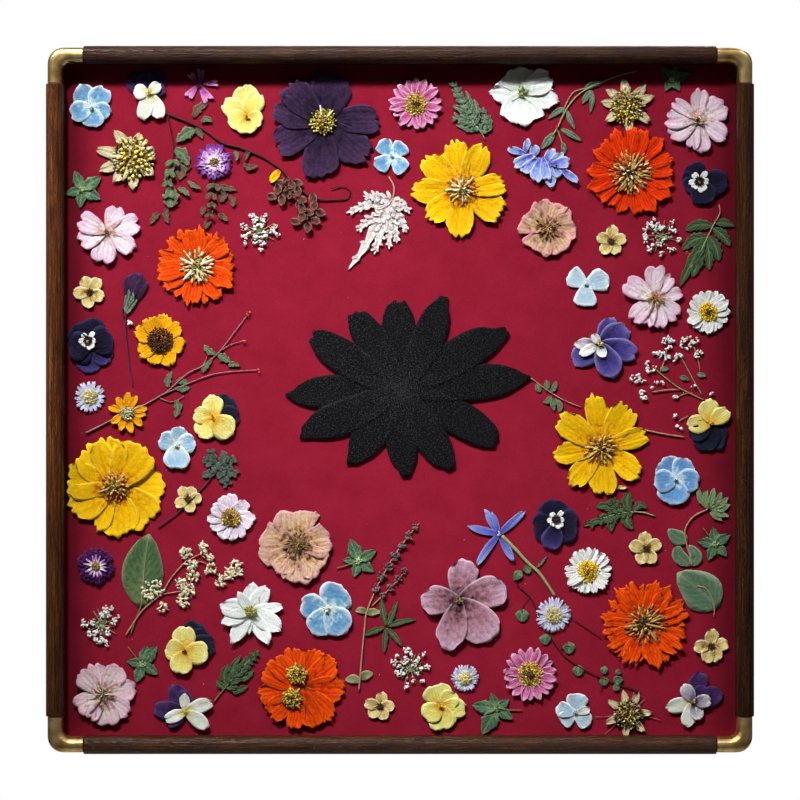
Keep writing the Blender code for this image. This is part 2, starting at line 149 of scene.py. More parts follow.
def walnutMaterial(side):
    # A copy of the walnut for each rail, each with its own painted light and shade
    material, tree, shader, place = newMaterial("walnutPaintedLightShade" + side.capitalize(), walnut["roughness"],
                                                specular=0.25)
    along = 0 if side in ("top", "bottom") else 2
    stretched = []
    for wide, long in (walnut["streakSize"], walnut["poreSize"]):
        scale = [1000 / wide] * 3
        scale[along] = 1000 / long
        stretched.append(addNode(tree, "ShaderNodeMapping", {"Vector": place, "Scale": scale}).outputs[0])
    streaks = noise(tree, stretched[0], 1.0, 4.0, 0.6, 0.6)
    pores = noise(tree, stretched[1], 1.0, 2.0)
    pebbles = noise(tree, place, 1000 / walnut["pebble"], 3.0, 0.6)
    wood = ramp(tree, streaks, [(0.30, walnut["dark"]), (0.52, walnut["mid"]), (0.74, walnut["light"])])
    poreMask = remap(tree, pores, 0.34, 0.50, 0.75, 0.0)
    porous = blend(tree, poreMask, wood, walnut["pore"])
    worn = blend(tree, remap(tree, pebbles, 0.56, 0.78, 0.0, 0.16), porous, walnut["bloom"])
    # Painted light and shade: a lightness of its own for each rail, painted shade towards the foot of the
    # side rails, and the left rail painted lighter outside than inside
    paintedLightShade = walnut["paintedRailLight"][side]
    if along == 2:
        across, _, height = addNode(tree, "ShaderNodeSeparateXYZ", {"Vector": place}).outputs
        paintedLightShade = remap(tree, height, *walnut["paintedDimHeights"], paintedLightShade * walnut["paintedFootDim"], paintedLightShade)
    if side == "left":
        half = remap(tree, across, *walnut["leftPaintedSpan"], *walnut["leftPaintedLitAndShaded"])
        paintedLightShade = calc(tree, "MULTIPLY", paintedLightShade, half)
    raised = calc(tree, "MULTIPLY_ADD", pebbles, 1.2, streaks)
    sunk = calc(tree, "SUBTRACT", raised, poreMask)
    endMaterial(tree, shader, dim(tree, paintedLightShade, worn), sunk, 0.6, 0.0004)
    return material


# Dyed mounting paper: matte crimson with short felted fibres. Real fibres are about 0.03 mm wide;
# they are drawn at 0.5 mm to show. A painted shadow of each side rail darkens a strip beside it, from
# railShadowFrom to railShadowTo in metres from the middle, down to the value railShadowValue.
redPaper = {"deep": "#7e1427", "mid": "#8f1a30", "light": "#9e243c", "fibre": 0.5, "cloud": 14.0,
            "roughness": 0.92, "railShadowFrom": 0.168, "railShadowTo": 0.187, "railShadowValue": 0.47}


def redPaperMaterial():
    material, tree, shader, place = newMaterial("paperDyedCrimson", redPaper["roughness"], specular=0.05)
    fibres = noise(tree, place, 1000 / redPaper["fibre"], 3.0, 0.65, 1.6)
    clouds = noise(tree, place, 1000 / redPaper["cloud"], 3.0)
    colour = ramp(tree, calc(tree, "MULTIPLY_ADD", clouds, 0.35, fibres), [
        (0.45, redPaper["deep"]), (0.68, redPaper["mid"]), (0.92, redPaper["light"])])
    # Painted shadow: the paper is drawn darker in a strip beside each side rail
    across = addNode(tree, "ShaderNodeSeparateXYZ", {"Vector": place}).outputs[0]
    railShadow = remap(tree, calc(tree, "ABSOLUTE", across), redPaper["railShadowFrom"], redPaper["railShadowTo"],
                 1.0, redPaper["railShadowValue"])
    endMaterial(tree, shader, dim(tree, railShadow, colour), fibres, 0.35, 0.00025)
    return material


# Surfaces of two colours that fine noise mingles. noise: cells per metre, detail, roughness;
# bump: strength and depth in metres; two values of roughness follow the noise.
mingled = {
    # Satin lacquered brass: soft pale gold shine, faint cloudy tarnish, hardly any marks
    "brassSatinLacquered": {"colours": [(0.34, "#b08a4a"), (0.6, "#e6c88a")], "noise": (1000 / 9.0, 3.0),
                            "roughness": 0.4, "metallic": 1.0, "bump": (0.05, 0.0002)},
    # Pressed greyboard: dull brown-grey pulp with darker flecks
    "greyboardPressed": {"colours": [(0.36, "#5d4f40"), (0.55, "#8d7b66")], "noise": (1000 / 0.9, 5.0, 0.7),
                         "roughness": 0.92, "specular": 0.2, "bump": (0.3, 0.0002)},
    # Zinc plated steel: grey shine with the cloudy look of thin plating
    "steelZincPlated": {"colours": [(0.35, "#9b9fa2"), (0.65, "#c3c6c8")], "noise": (500.0, 4.0),
                        "roughness": (0.26, 0.44), "metallic": 1.0},
    # Glitter card: matte black, with foil flakes that catch the light one by one
    "cardBlackMatte": {"colours": [(0.35, "#040405"), (0.75, "#0d0d0f")], "noise": (1400.0, 2.0),
                       "roughness": 0.75, "specular": 0.1, "bump": (0.8, 0.0003)},
    "flakeBlackFoil": {"colours": [(0.35, "#16161a"), (0.75, "#74747e")], "noise": (1400.0, 2.0),
                       "roughness": 0.3, "metallic": 0.85, "specular": 0.1, "bump": (0.8, 0.0003)},
    # Painted floor: plain and pale, with faint wide clouds
    "floorPainted": {"colours": [(0.3, "#dedcd8"), (0.7, "#e4e2de")], "noise": (3.0, 2.0),
                     "roughness": 0.8, "specular": 0.2},
}


def mingledMaterial(name):
    look = mingled[name]
    rough = look["roughness"]
    spread = isinstance(rough, tuple)
    material, tree, shader, place = newMaterial(name, rough[0] if spread else rough,
                                                look.get("metallic", 0.0), look.get("specular", 0.5))
    clouds = noise(tree, place, *look["noise"])
    if spread:
        tree.links.new(remap(tree, clouds, 0.3, 0.7, *rough), shader.inputs["Roughness"])
    relief = (clouds, *look["bump"]) if "bump" in look else ()
    endMaterial(tree, shader, ramp(tree, clouds, look["colours"]), *relief)
    return material


def dress(material, *nodeNames):
    for name in nodeNames:
        materials = frame["nodes"][name].data.materials
        materials.clear()
        materials.append(material)


for side in walnut["paintedRailLight"]:
    dress(walnutMaterial(side), "rail_" + side)
dress(mingledMaterial("brassSatinLacquered"), "corner_top_right", "corner_bottom_right", "corner_bottom_left",
      "corner_top_left")
dress(redPaperMaterial(), "mounting_board")
dress(mingledMaterial("greyboardPressed"), "back_board")
dress(mingledMaterial("steelZincPlated"), "hanger")
print("frame dressed")

# Pressed petals and leaves: papery and matte, darker veins, a paler or darker rim and a fine crinkle.
# Each row: colours at the base, middle and tip, of the rim and of the veins; the rim's and the veins'
# share; the number of veins across; mottle: how far the colours break up. rimPower: how thin the rim
# is; veinsTo: how far the veins run from the base; midrib: share of a leaf's midrib.
petalFinishes = {
    "hydrangeaBlue": ("#d4e8e4 #78b0d6 #5494ca #f4f8fb #4484b6", 0.95, 0.35, 7, 1.8),
    "hydrangeaSky": ("#d4e4f0 #6ca8de #5a98d8 #e4f0fa #4080c4", 0.9, 0.35, 7, 1.4),
    "hydrangeaPale": ("#dfeae6 #b2d2e6 #8cc0e2 #f4f8f8 #7fa9cb", 0.9, 0.3, 7, 1.5),
    "hydrangeaFaint": ("#d0e2ec #b0d0e4 #b4d4e8 #fcfefe #94b4d4", 1.0, 0.3, 7, 1.6, {"rimPower": 4}),
    "violaWhite": ("#d8cc4a #f2f4ea #e6eed8 #fbfbf4 #8a7a9a", 0.7, 0.35, 9, 0.55, {"veinsTo": 0.55}),
    "violaMarked": ("#3a2050 #a594b4 #f2f2ec #faf9f2 #4b2f63", 0.5, 0.6, 9, 0.9),
    "violaFace": ("#1a1024 #f4f2ee #faf9f6 #fbfaf8 #2c1c40", 0.4, 0.75, 5, 0.55, {"veinsTo": 0.5}),
    "violaPlum": ("#20142e #382450 #482e64 #5e4478 #1c1028", 0.6, 0.5, 9, 1.8),
    "violaNavy": ("#0a0912 #17142a #1f1b36 #3e3a62 #08070f", 0.5, 0.4, 9, 1.0),
    "violaIndigo": ("#100e22 #262046 #383064 #605498 #14102a", 0.6, 0.4, 9, 1.0),
    "violaPurple": ("#1e1646 #3c3078 #524698 #9a94c8 #1c1642", 0.7, 0.5, 10, 1.2),
    "violaYellow": ("#e6a81e #ecd86a #f2e890 #f8f2b4 #a87830", 0.5, 0.3, 8, 0.55, {"veinsTo": 0.6}),
    "violaInk": ("#0a0b16 #161828 #1c2034 #3a4058 #080910", 0.4, 0.4, 9, 0.55),
    "pansyYellow": ("#e2a01e #f2e670 #f4ee8a #faf6ba #c4a030", 0.6, 0.35, 9, 0.55, {"veinsTo": 0.7}),
    "cosmosBlack": ("#0e0812 #2d1c38 #402a4a #5c4468 #140a1a", 0.3, 0.45, 7, 1.4),
    "cosmosYellow": ("#c06002 #f2b402 #ffc802 #ffe440 #c88a02", 0.4, 0.4, 6, 1.3),
    "cosmosOrange": ("#a83002 #ea4002 #f84e02 #ff7414 #a42800", 0.4, 0.8, 6, 2.0),
    "cosmosRed": ("#982002 #e62c02 #f03a02 #ff5a10 #941a00", 0.4, 0.8, 6, 2.0),
    "coreopsis": ("#9a3c08 #f4a004 #fcb208 #ffcc40 #c07000", 0.4, 0.45, 6, 0.9),
    "daisyPink": ("#f2dcc8 #b8427c #dc7ab2 #f6cce6 #8c2454", 0.8, 0.6, 4, 0.9),
    "daisyPale": ("#c0a4c8 #ecd8ee #f8ecf6 #fdf6fc #a880b4", 0.5, 0.5, 5, 1.2),
    "daisyWhite": ("#d4d6bc #f2f2ee #f8f8f6 #ffffff #b4b8b4", 0.5, 0.5, 3, 0.55),
    "daisySky": ("#e0e4dc #cdd4f0 #d8dcf6 #f2f4fc #8f98cc", 0.5, 0.5, 2, 0.55),
    "cherryBlossom": ("#d0ac98 #faf0f4 #f4d4e6 #d888b8 #b87c98", 0.8, 0.5, 5, 1.9, {"rimPower": 6,
        "veinsTo": 0.9}),
    "cherryBlossomOld": ("#b08870 #f4e2e0 #f0d4dc #cc84a4 #a87484", 0.8, 0.55, 5, 2.0, {"veinsTo": 0.9}),
    "larkspurWhite": ("#d4e4c8 #f4f9f7 #fcfefd #ffffff #b4c8c0", 0.4, 0.25, 5, 1.0),
    "periwinkle": ("#5560c0 #8698e6 #a4b8f4 #e4ebfc #5562bc", 0.9, 0.4, 3, 2.0),
    "blueStar": ("#4a4cae #6c74cc #8f9ee4 #b4c0f0 #3a3c94", 0.5, 0.5, 3, 0.55),
    "ruffledPeach": ("#5c3c1c #d4a474 #ecc8a4 #e4a0b0 #80542c", 0.8, 0.5, 9, 2.2),
    "ruffledPink": ("#5c3c1c #c49a6c #e4c0a0 #f098a8 #7c5430", 1.0, 0.5, 9, 2.2),
    "mauve": ("#3a1c22 #a06c78 #c49ab0 #e4c4da #7c4c5a", 0.55, 0.4, 6, 1.3),
    "creamBlossom": ("#80501a #dcc070 #f0dc90 #fbf2ca #9c7838", 0.9, 0.5, 6, 1.8, {"veinsTo": 0.8}),
    "everlasting": ("#fdf8fd #cf9cdc #6b2a86 #7c3a98 #5a2074", 0.3, 0.35, 3, 0.3),
    "everlastingInner": ("#fdfafd #faf0fb #c080d0 #d8a8e0 #b070c0", 0.3, 0.4, 2, 0.3),
    "everlastingDark": ("#8c4a8c #5c2066 #3c1046 #7c4488 #2c0c36", 0.4, 0.5, 3, 0.7),
    "cherryPink": ("#5c2458 #b25aa4 #dc92cc #eeb4de #7a2a68", 0.5, 0.4, 5, 0.9),
    "driedSepal": ("#8f8040 #d4c48c #f0e4be #7c5430 #6c5a32", 0.6, 0.5, 3, 1.4),
    "budPlum": ("#1e1224 #33203a #4a2c50 #5e3c62 #160c1c", 0.3, 0.5, 7, 1.0),
    "leafOval": ("#6c7c50 #4a6840 #40603c #a0a888 #8c9c74", 0.75, 0.3, 9, 2.4, {"midrib": 0.5,
        "rimPower": 12}),
    "leafGreen": ("#6c8c60 #42684a #385c40 #84987c #a4b898", 0.5, 0.3, 5, 2.4, {"midrib": 0.5}),
    "leafDeep": ("#344a2c #3a5434 #30482e #667a56 #8c9c78", 0.5, 0.35, 5, 1.8, {"midrib": 0.7}),
    "leafFern": ("#6c8468 #4c6c54 #3c5c48 #a0ac94 #b4bea4", 0.6, 0.4, 4, 1.6, {"midrib": 0.8}),
    "leafBrown": ("#4e3630 #5c5440 #6a4a40 #8c7862 #8c7c66", 0.6, 0.35, 4, 2.8, {"midrib": 0.5}),
    "leafOlive": ("#4a6044 #587452 #5c5c48 #96a080 #9aac86", 0.6, 0.35, 4, 2.6, {"midrib": 0.6}),
    "leafBlue": ("#5c7a5a #567a60 #4e7058 #b4c0a0 #8aa07c", 0.7, 0.3, 7, 1.9, {"midrib": 0.5}),
    "leafSilver": ("#c8aca6 #e8e0dc #f6f2f0 #ffffff #9a8880", 0.5, 0.4, 5, 1.2, {"midrib": 0.4}),
    "leafSlate": ("#3c463e #4c5a50 #525f56 #7c887c #69746a", 0.5, 0.4, 5, 1.6, {"midrib": 0.3}),
    "leafLight": ("#74885a #68845a #7a9668 #b8c49c #a8b88c", 0.6, 0.3, 4, 1.8, {"midrib": 0.5}),
    "leafPale": ("#6c7048 #94946a #a4a47c #c8c49c #78784c", 0.6, 0.3, 5, 1.6, {"midrib": 0.4}),
    "clusterRust": ("#241210 #5c342e #74483e #b0907e #2c1412", 0.75, 0.5, 3, 2.2, {"rimPower": 4}),
    "creamFloret": ("#d4c894 #f2ecc8 #faf6dc #fffdec #b8ac7c", 0.4, 0.3, 3, 0.55),
    "umbelWhite": ("#dfe6d8 #f4f6f2 #fafbf8 #ffffff #c8ccc4", 0.4, 0.3, 3, 0.55),
    "lavenderFloret": ("#4a4038 #6e6258 #9c90a0 #b4a8b0 #3c322c", 0.4, 0.4, 3, 1.6),
}
petalSurface = {"mottle": 2.6, "crinkle": 0.7, "roughness": 0.66}  # sizes in millimetres


def petalMaterial(name, finish):
    colours, rimShare, veinShare, veins, mottling, *rest = finish
    base, middle, tip, rimColour, veinColour = colours.split()
    extra = rest[0] if rest else {}
    material, tree, shader, place = newMaterial(name + "Pressed", petalSurface["roughness"], specular=0.08)
    uv = addNode(tree, "ShaderNodeUVMap", uv_map="petal").outputs["UV"]
    tone = addNode(tree, "ShaderNodeAttribute", attribute_name="tone").outputs["Fac"]
    mottle = noise(tree, place, 1000 / petalSurface["mottle"], 4.0)
    crinkle = noise(tree, place, 1000 / petalSurface["crinkle"], 3.0, 0.6)
    across, along, _ = addNode(tree, "ShaderNodeSeparateXYZ", {"Vector": uv}).outputs
    # Colour along the petal, broken up by the mottle
    broken = calc(tree, "MULTIPLY_ADD", calc(tree, "SUBTRACT", mottle, 0.5), mottling, along)
    body = ramp(tree, broken, [(0.08, base), (0.42, middle), (0.9, tip)])
    # Veins fan out from the base, so they are lines of constant share across
    wander = calc(tree, "MULTIPLY_ADD", mottle, 7.0, tone)
    sideways = calc(tree, "ABSOLUTE", calc(tree, "MULTIPLY_ADD", across, 2.0, -1.0))
    vein = across
    if "midrib" in extra:
        vein = calc(tree, "MULTIPLY_ADD", sideways, -0.4, along)  # slanting from the midrib to the edge
    wave = calc(tree, "SINE", calc(tree, "MULTIPLY_ADD", vein, math.tau * veins, wander))
    lines = remap(tree, wave, 0.1, 1.0, 0.0, veinShare)
    reach = extra.get("veinsTo", 1.2)
    faded = calc(tree, "MULTIPLY", lines, remap(tree, broken, reach - 0.2, reach, 1.0, 0.0))
    veinMask = calc(tree, "MULTIPLY", faded, remap(tree, crinkle, 0.36, 0.60, 0.25, 1.0))
    veined = blend(tree, veinMask, body, veinColour)
    if "midrib" in extra:
        line = calc(tree, "POWER", calc(tree, "SUBTRACT", 1.0, sideways), 12.0)
        veined = blend(tree, calc(tree, "MULTIPLY", line, extra["midrib"]), veined, veinColour)
    # Rim: the sides and the tip
    rimPower = extra.get("rimPower", 5)
    rim = calc(tree, "MAXIMUM", calc(tree, "POWER", sideways, rimPower),
               calc(tree, "POWER", along, rimPower * 1.8))
    rimmed = blend(tree, calc(tree, "MULTIPLY", rim, rimShare), veined, rimColour)
    # Each petal is a little lighter or darker than its neighbour
    lightness = remap(tree, tone, 0.0, 1.0, 0.84, 1.05)
    value = calc(tree, "MULTIPLY", lightness, remap(tree, crinkle, 0.3, 0.7, 0.88, 1.08))
    creased = calc(tree, "MULTIPLY_ADD", mottle, 1.6, calc(tree, "MULTIPLY_ADD", wave, -0.10, crinkle))
    endMaterial(tree, shader, dim(tree, value, rimmed), creased, 0.7, 0.0004)
    return material


# Seeds, stamens, stems: small dry parts, each grain its own shade between two colours
grainFinishes = {
    "seedYellow": "#8a5a12 #e8bb30", "seedGold": "#6b4a14 #cfa23a", "seedBrown": "#1c100a #5a3a22",
    "seedStraw": "#6f5a24 #d2bc6a", "seedOlive": "#4c4a20 #a39a52", "seedTan": "#6b4c28 #c39a58",
    "seedPale": "#b4a878 #efe4bc", "seedLemon": "#a08a1c #ecdc5e", "seedGreen": "#4a6a3a #a8c088",
    "stemBrown": "#2c1714 #5a3a2e", "stemRed": "#1a0a0c #3a1a1c", "stemMauve": "#6f5552 #a8868a",
    "stemSage": "#7c8258 #aab07c", "stemPink": "#c4857e #eab0a8", "stemTan": "#946a58 #c99a80",
    "stemOlive": "#54502c #8a7e48", "stemPurple": "#2c1c34 #50384e", "beadWhite": "#d8d8cc #fdfdf8",
    "beadBlue": "#7cb4dc #cfe6f2", "beadDark": "#0b0710 #251830", "seedBright": "#d29a08 #fad814",
    "seedCream": "#c8b98a #f4ead0", "beadRust": "#8c3a1c #d46a3a", "beadOrange": "#c05c08 #f09010",
    "speckWhite": "#d6cfc8 #f6f2ec",
}


def grainMaterial(name, dark, light):
    material, tree, shader, place = newMaterial(name + "Dried", 0.6, specular=0.3)
    tone = addNode(tree, "ShaderNodeAttribute", attribute_name="tone").outputs["Fac"]
    grain = noise(tree, place, 1100.0, 3.0)
    mixed = calc(tree, "MULTIPLY_ADD", calc(tree, "ADD", grain, -0.5), 0.9, tone)
    endMaterial(tree, shader, ramp(tree, mixed, [(0.1, dark), (0.85, light)]), grain, 0.4, 0.0002)
    return material


madeMaterials = {}


def finishOf(name):
    if name not in madeMaterials:
        if name in petalFinishes:
            madeMaterials[name] = petalMaterial(name, petalFinishes[name])
        elif name in grainFinishes:
            madeMaterials[name] = grainMaterial(name, *grainFinishes[name].split())
        else:
            madeMaterials[name] = mingledMaterial(name)
    return madeMaterials[name]


# Meshes by numbers
def fillMesh(mesh, points, corners, sizes, uv=None):
    mesh.vertices.add(len(points))
    mesh.vertices.foreach_set("co", points.ravel())
    mesh.loops.add(len(corners))
    mesh.loops.foreach_set("vertex_index", corners.astype(np.int32))
    mesh.polygons.add(len(sizes))
    mesh.polygons.foreach_set("loop_start", np.concatenate([[0], np.cumsum(sizes)[:-1]]).astype(np.int32))
    if uv is not None:
        mesh.uv_layers.new(name="petal").uv.foreach_set("vector", uv[corners].ravel())
    mesh.update(calc_edges=True)


# A patch gathers shapes, each with its own finish, until the piece is made of it
def newPatch():
    lists = {key: [] for key in ("points", "corners", "sizes", "uv", "tone", "slots", "finishes")}
    return dict(lists, count=0)


def addShape(patch, points, corners, sizes, finish, uv, tone=0.5):
    if finish not in patch["finishes"]:
        patch["finishes"].append(finish)
    number = len(points)
    patch["points"].append(points)
    patch["corners"].append(corners + patch["count"])
    patch["sizes"].append(sizes)
    patch["uv"].append(uv)
    patch["tone"].append(np.broadcast_to(np.asarray(tone, dtype=float), (number,)))
    patch["slots"].append(np.full(len(sizes), patch["finishes"].index(finish)))
    patch["count"] += number


def makePiece(name, patch, slot, *stands):
    points, corners, sizes, uv, tone, slots = (
        np.concatenate(patch[key]) for key in ("points", "corners", "sizes", "uv", "tone", "slots"))
    # Board millimetres to the frame's metres: the board's z points at the viewer, along -Y
    x, y, z = (points * 0.001).T
    world = np.stack([boardMiddle.x + x, boardFront - z, boardMiddle.z + y], axis=1)
    mesh = bpy.data.meshes.new(name)
    fillMesh(mesh, world, corners, sizes, uv)
    mesh.polygons.foreach_set("material_index", slots.astype(np.int32))
    mesh.polygons.foreach_set("use_smooth", np.ones(len(sizes), dtype=bool))
    mesh.attributes.new("tone", "FLOAT", "POINT").data.foreach_set("value", tone)
    for finish in patch["finishes"]:
        mesh.materials.append(finishOf(finish))
    piece = bpy.data.objects.new(name, mesh)
    bpy.context.scene.collection.objects.link(piece)
    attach(piece, "root")
    if stands:
        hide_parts(*stands)


sheetFaces = {}


# Closes a grid of points (rows along, columns across) into a thin sheet; u and v give its UV
def closeSheet(x, y, z, thick, u, v):
    rows, columns = x.shape
    if (rows, columns) not in sheetFaces:
        index = np.arange(rows * columns).reshape(rows, columns)
        top = np.stack([index[:-1, :-1], index[:-1, 1:], index[1:, 1:], index[1:, :-1]], axis=-1)
        top = top.reshape(-1, 4)
        bottom = top[:, ::-1] + rows * columns
        rim = np.concatenate([index[0, :-1], index[:-1, -1], index[-1, :0:-1], index[:0:-1, 0]])
        after = np.roll(rim, -1)
        sides = np.stack([rim + rows * columns, after + rows * columns, after, rim], axis=-1)
        sheetFaces[rows, columns] = np.concatenate([top, bottom, sides])
    front = np.stack([x.ravel(), y.ravel(), z.ravel()], axis=1)
    back = front - np.array([0, 0, thick])
    faces = sheetFaces[rows, columns]
    uv = np.stack([(u.ravel() + 1) / 2, v.ravel()], axis=1)
    return np.concatenate([front, back]), faces.ravel(), np.full(len(faces), 4), np.concatenate([uv, uv])


# Petal outlines. blunt: 1 ends in a point, less ends broad; swell: where the petal is widest;
# neck: width at the base; round, notch, teeth, toothCut: the tip; ragged: how uneven it is;
# ribs: folds along the petal.
petalShapes = {
    "disc": {"blunt": 0.96, "swell": 1.2, "neck": 0.22, "round": 0.03, "ragged": 0.03},
    "round": {"blunt": 0.86, "swell": 1.25, "neck": 0.22, "round": 0.16, "ragged": 0.02},
    "broad": {"blunt": 0.82, "swell": 1.4, "neck": 0.3, "round": 0.17, "ragged": 0.03},
    "notched": {"blunt": 0.84, "swell": 1.35, "neck": 0.16, "round": 0.12, "notch": 0.1, "ragged": 0.03,
        "ribs": 2},
    "ribbed": {"blunt": 0.8, "swell": 1.35, "neck": 0.24, "round": 0.1, "teeth": 4, "toothCut": 0.09,
        "ragged": 0.03, "ribs": 5},
    "scalloped": {"blunt": 0.78, "swell": 1.5, "neck": 0.22, "round": 0.12, "teeth": 5, "toothCut": 0.08,
        "ragged": 0.04, "ribs": 5},
    "jagged": {"blunt": 0.82, "swell": 1.4, "neck": 0.24, "round": 0.14, "teeth": 4, "toothCut": 0.14,
        "ragged": 0.05, "ribs": 4},
    "strap": {"blunt": 0.86, "swell": 0.95, "neck": 0.4, "round": 0.1, "teeth": 2, "toothCut": 0.03,
        "ragged": 0.02, "ribs": 2},
    "pointed": {"blunt": 0.97, "swell": 1.0, "neck": 0.25, "round": 0.05, "ragged": 0.03, "ribs": 1},
    "wedge": {"blunt": 0.6, "swell": 1.3, "neck": 0.15, "round": 0.05, "notch": 0.22, "ragged": 0.03,
        "ribs": 1},
    "toothed": {"blunt": 0.86, "swell": 1.3, "neck": 0.25, "round": 0.2, "teeth": 7, "toothCut": 0.09,
        "ragged": 0.05, "ribs": 3},
    "needle": {"blunt": 0.96, "swell": 0.7, "neck": 0.6, "round": 0.03, "ragged": 0.02},
    "ruffled": {"blunt": 0.74, "swell": 1.5, "neck": 0.25, "round": 0.12, "teeth": 9, "toothCut": 0.05,
        "ragged": 0.05, "ribs": 6},
    "brush": {"blunt": 0.93, "swell": 1.15, "neck": 0.3, "round": 0.1, "ragged": 0.025},
}


def petalSheet(length, width, shape, rng, lift=0.8, cup=0.3, ripple=0.15, thick=0.16, across=8, along=10):
    settings = petalShapes[shape]
    teeth = settings.get("teeth", 0)
    across = max(across, 2 * teeth + 2)
    u, v = np.meshgrid(np.linspace(-1, 1, across + 1), np.linspace(0, 1, along + 1))
    profile = np.sin(np.pi * np.clip(settings["blunt"] * v, 0, 1) ** settings["swell"]) ** 0.62
    profile = settings["neck"] + (1 - settings["neck"]) * profile
    wobble = rng.uniform(0, math.tau, 6)
    ragged = settings["ragged"]
    profile = profile * (1 + ragged * 1.5 * np.sin(9 * v + wobble[0] + 2 * u) * v)
    cut = settings["round"] * np.abs(u) ** 2.4
    cut = cut + settings.get("notch", 0) * np.exp(-(u / 0.24) ** 2)
    if teeth:
        # Each gap between two teeth is cut to its own depth
        tooth = np.abs(np.sin(np.pi * teeth * (u + 1) / 2)) ** 0.7
        depths = rng.uniform(0.3, 1.5, teeth + 1)[np.round(teeth * (u + 1) / 2).astype(int)]
        cut = cut + settings["toothCut"] * (1 - tooth) * depths
    cut = cut + ragged * (np.sin(3 * u + wobble[1]) + 0.6 * np.sin(7 * u + wobble[2]))
    bend = rng.uniform(-0.06, 0.06) * length
    x = width / 2 * profile * u + bend * v ** 2
    y = length * (v - cut * v ** 5)
    z = lift * v ** 1.4 + cup * np.abs(u) ** 2 * v ** 0.5
    z = z + ripple * np.sin(6 * v + wobble[3] + u) * np.abs(u) ** 1.2
    z = z + ripple * 0.7 * np.sin(4 * u + wobble[4]) * v ** 3
    if "ribs" in settings:
        fold = np.cos(math.pi * settings["ribs"] * u + wobble[5])
        z = z + 0.06 * fold * np.sin(math.pi * np.clip(v, 0, 1)) ** 0.5
    for crease in rng.uniform(-0.8, 0.8, 2):
        z = z - 1.2 * ripple * np.exp(-((u - crease - 0.2 * v) / 0.13) ** 2) * v
    z = z - 0.12 * np.exp(-(u / 0.15) ** 2) * v ** 0.3
    return closeSheet(x, y, z, thick, u, v)


# Turns a petal from its own +Y to a direction in degrees and moves its base to a place
def turned(points, direction, place, height):
    angle = math.radians(direction - 90)
    c, s = math.cos(angle), math.sin(angle)
    x = points[:, 0] * c - points[:, 1] * s + place[0]
    y = points[:, 0] * s + points[:, 1] * c + place[1]
    return np.stack([x, y, points[:, 2] + height], axis=1)


def addPetal(patch, place, direction, length, width, finish, shape, rng, height, **relief):
    points, corners, sizes, uv = petalSheet(length, width, shape, rng, **relief)
    addShape(patch, turned(points, direction, place, height), corners, sizes, finish, uv, rng.uniform(0, 1))


# A smooth path through points, Catmull-Rom, as many points as asked
def smoothPath(points, number):
    points = np.array(points, dtype=float)
    ends = np.vstack([2 * points[0] - points[1], points, 2 * points[-1] - points[-2]])
    spans = len(points) - 1
    out = []
    for share in np.linspace(0, spans, number):
        k = min(int(share), spans - 1)
        t = share - k
        a, b, c, d = ends[k:k + 4]
        square = 2 * a - 5 * b + 4 * c - d
        cube = 3 * b - a - 3 * c + d
        out.append(0.5 * (2 * b + (c - a) * t + square * t ** 2 + cube * t ** 3))
    return np.array(out)


# A leaf along a path of pixels. teeth: number a side; cut: their depth as a share of the width;
# taper: more ends slimmer. leafMake: the share along where a leaf is widest, how far it runs into its
# point, the width of its neck and point, its lift and thickness in mm, and faces across.
leafMake = {"widest": 0.45, "blunt": 0.97, "neck": 0.12, "point": 0.05, "lift": 0.4, "thick": 0.16,
            "across": 6}


def addLeaf(patch, path, width, finish, rng, teeth, cut, height, cup=0.25, taper=0.9):
    rows = max(10, teeth * 4 + 2)
    middle = smoothPath([spot(*p) for p in path], rows + 1)
    direction = np.gradient(middle, axis=0)
    direction = direction / np.linalg.norm(direction, axis=1)[:, None]
    side = np.stack([direction[:, 1], -direction[:, 0]], axis=1)
    u, v = np.meshgrid(np.linspace(-1, 1, leafMake["across"] + 1), np.linspace(0, 1, rows + 1))
    blunt, neck = leafMake["blunt"], leafMake["neck"]
    swell = math.log(0.5) / math.log(leafMake["widest"] * blunt)
    profile = np.sin(np.pi * np.clip(blunt * v, 0, 1) ** swell) ** taper
    profile = neck + (1 - neck) * profile
    profile[-1, :] = leafMake["point"]
    if teeth:
        saw = 1 - ((v * teeth) % 1.0)
        profile = profile * (1 - cut * (1 - saw) * np.abs(u))
    wobble = rng.uniform(0, math.tau, 3)
    reach = width / 2 * profile * u * (1 + 0.06 * np.sin(5 * v + wobble[0]))
    x = middle[:, 0][:, None] + side[:, 0][:, None] * reach
    y = middle[:, 1][:, None] + side[:, 1][:, None] * reach
    z = height + leafMake["lift"] * np.sin(math.pi * v * 0.9) * 0.5 + cup * np.abs(u) ** 1.3
    z = z + 0.10 * np.sin(9 * v + wobble[1]) * np.abs(u) + 0.06 * np.sin(7 * u + 11 * v + wobble[2])
    points, corners, sizes, uv = closeSheet(x, y, z, leafMake["thick"], u, v)
    addShape(patch, points, corners, sizes, finish, uv, rng.uniform(0.2, 0.8))


# Small leaves in pairs along a path of pixels, shorter towards its end
def addPairs(patch, path, count, length, width, finish, rng, height):
    line = smoothPath([spot(*p) for p in path], count + 1)
    ahead = np.gradient(line, axis=0)
    for k in range(count):
        heading = math.degrees(math.atan2(ahead[k][1], ahead[k][0]))
        share = 1 - 0.4 * k / count
        for turn in (-1, 1):
            direction = heading + turn * 46 + rng.uniform(-14, 14)
            own = length * share * rng.uniform(0.75, 1.2)
            addPetal(patch, line[k], direction, own, width * share, finish, "pointed", rng,
                     height + rng.uniform(0, 0.3), lift=0.3, cup=0.2, across=4, along=5)


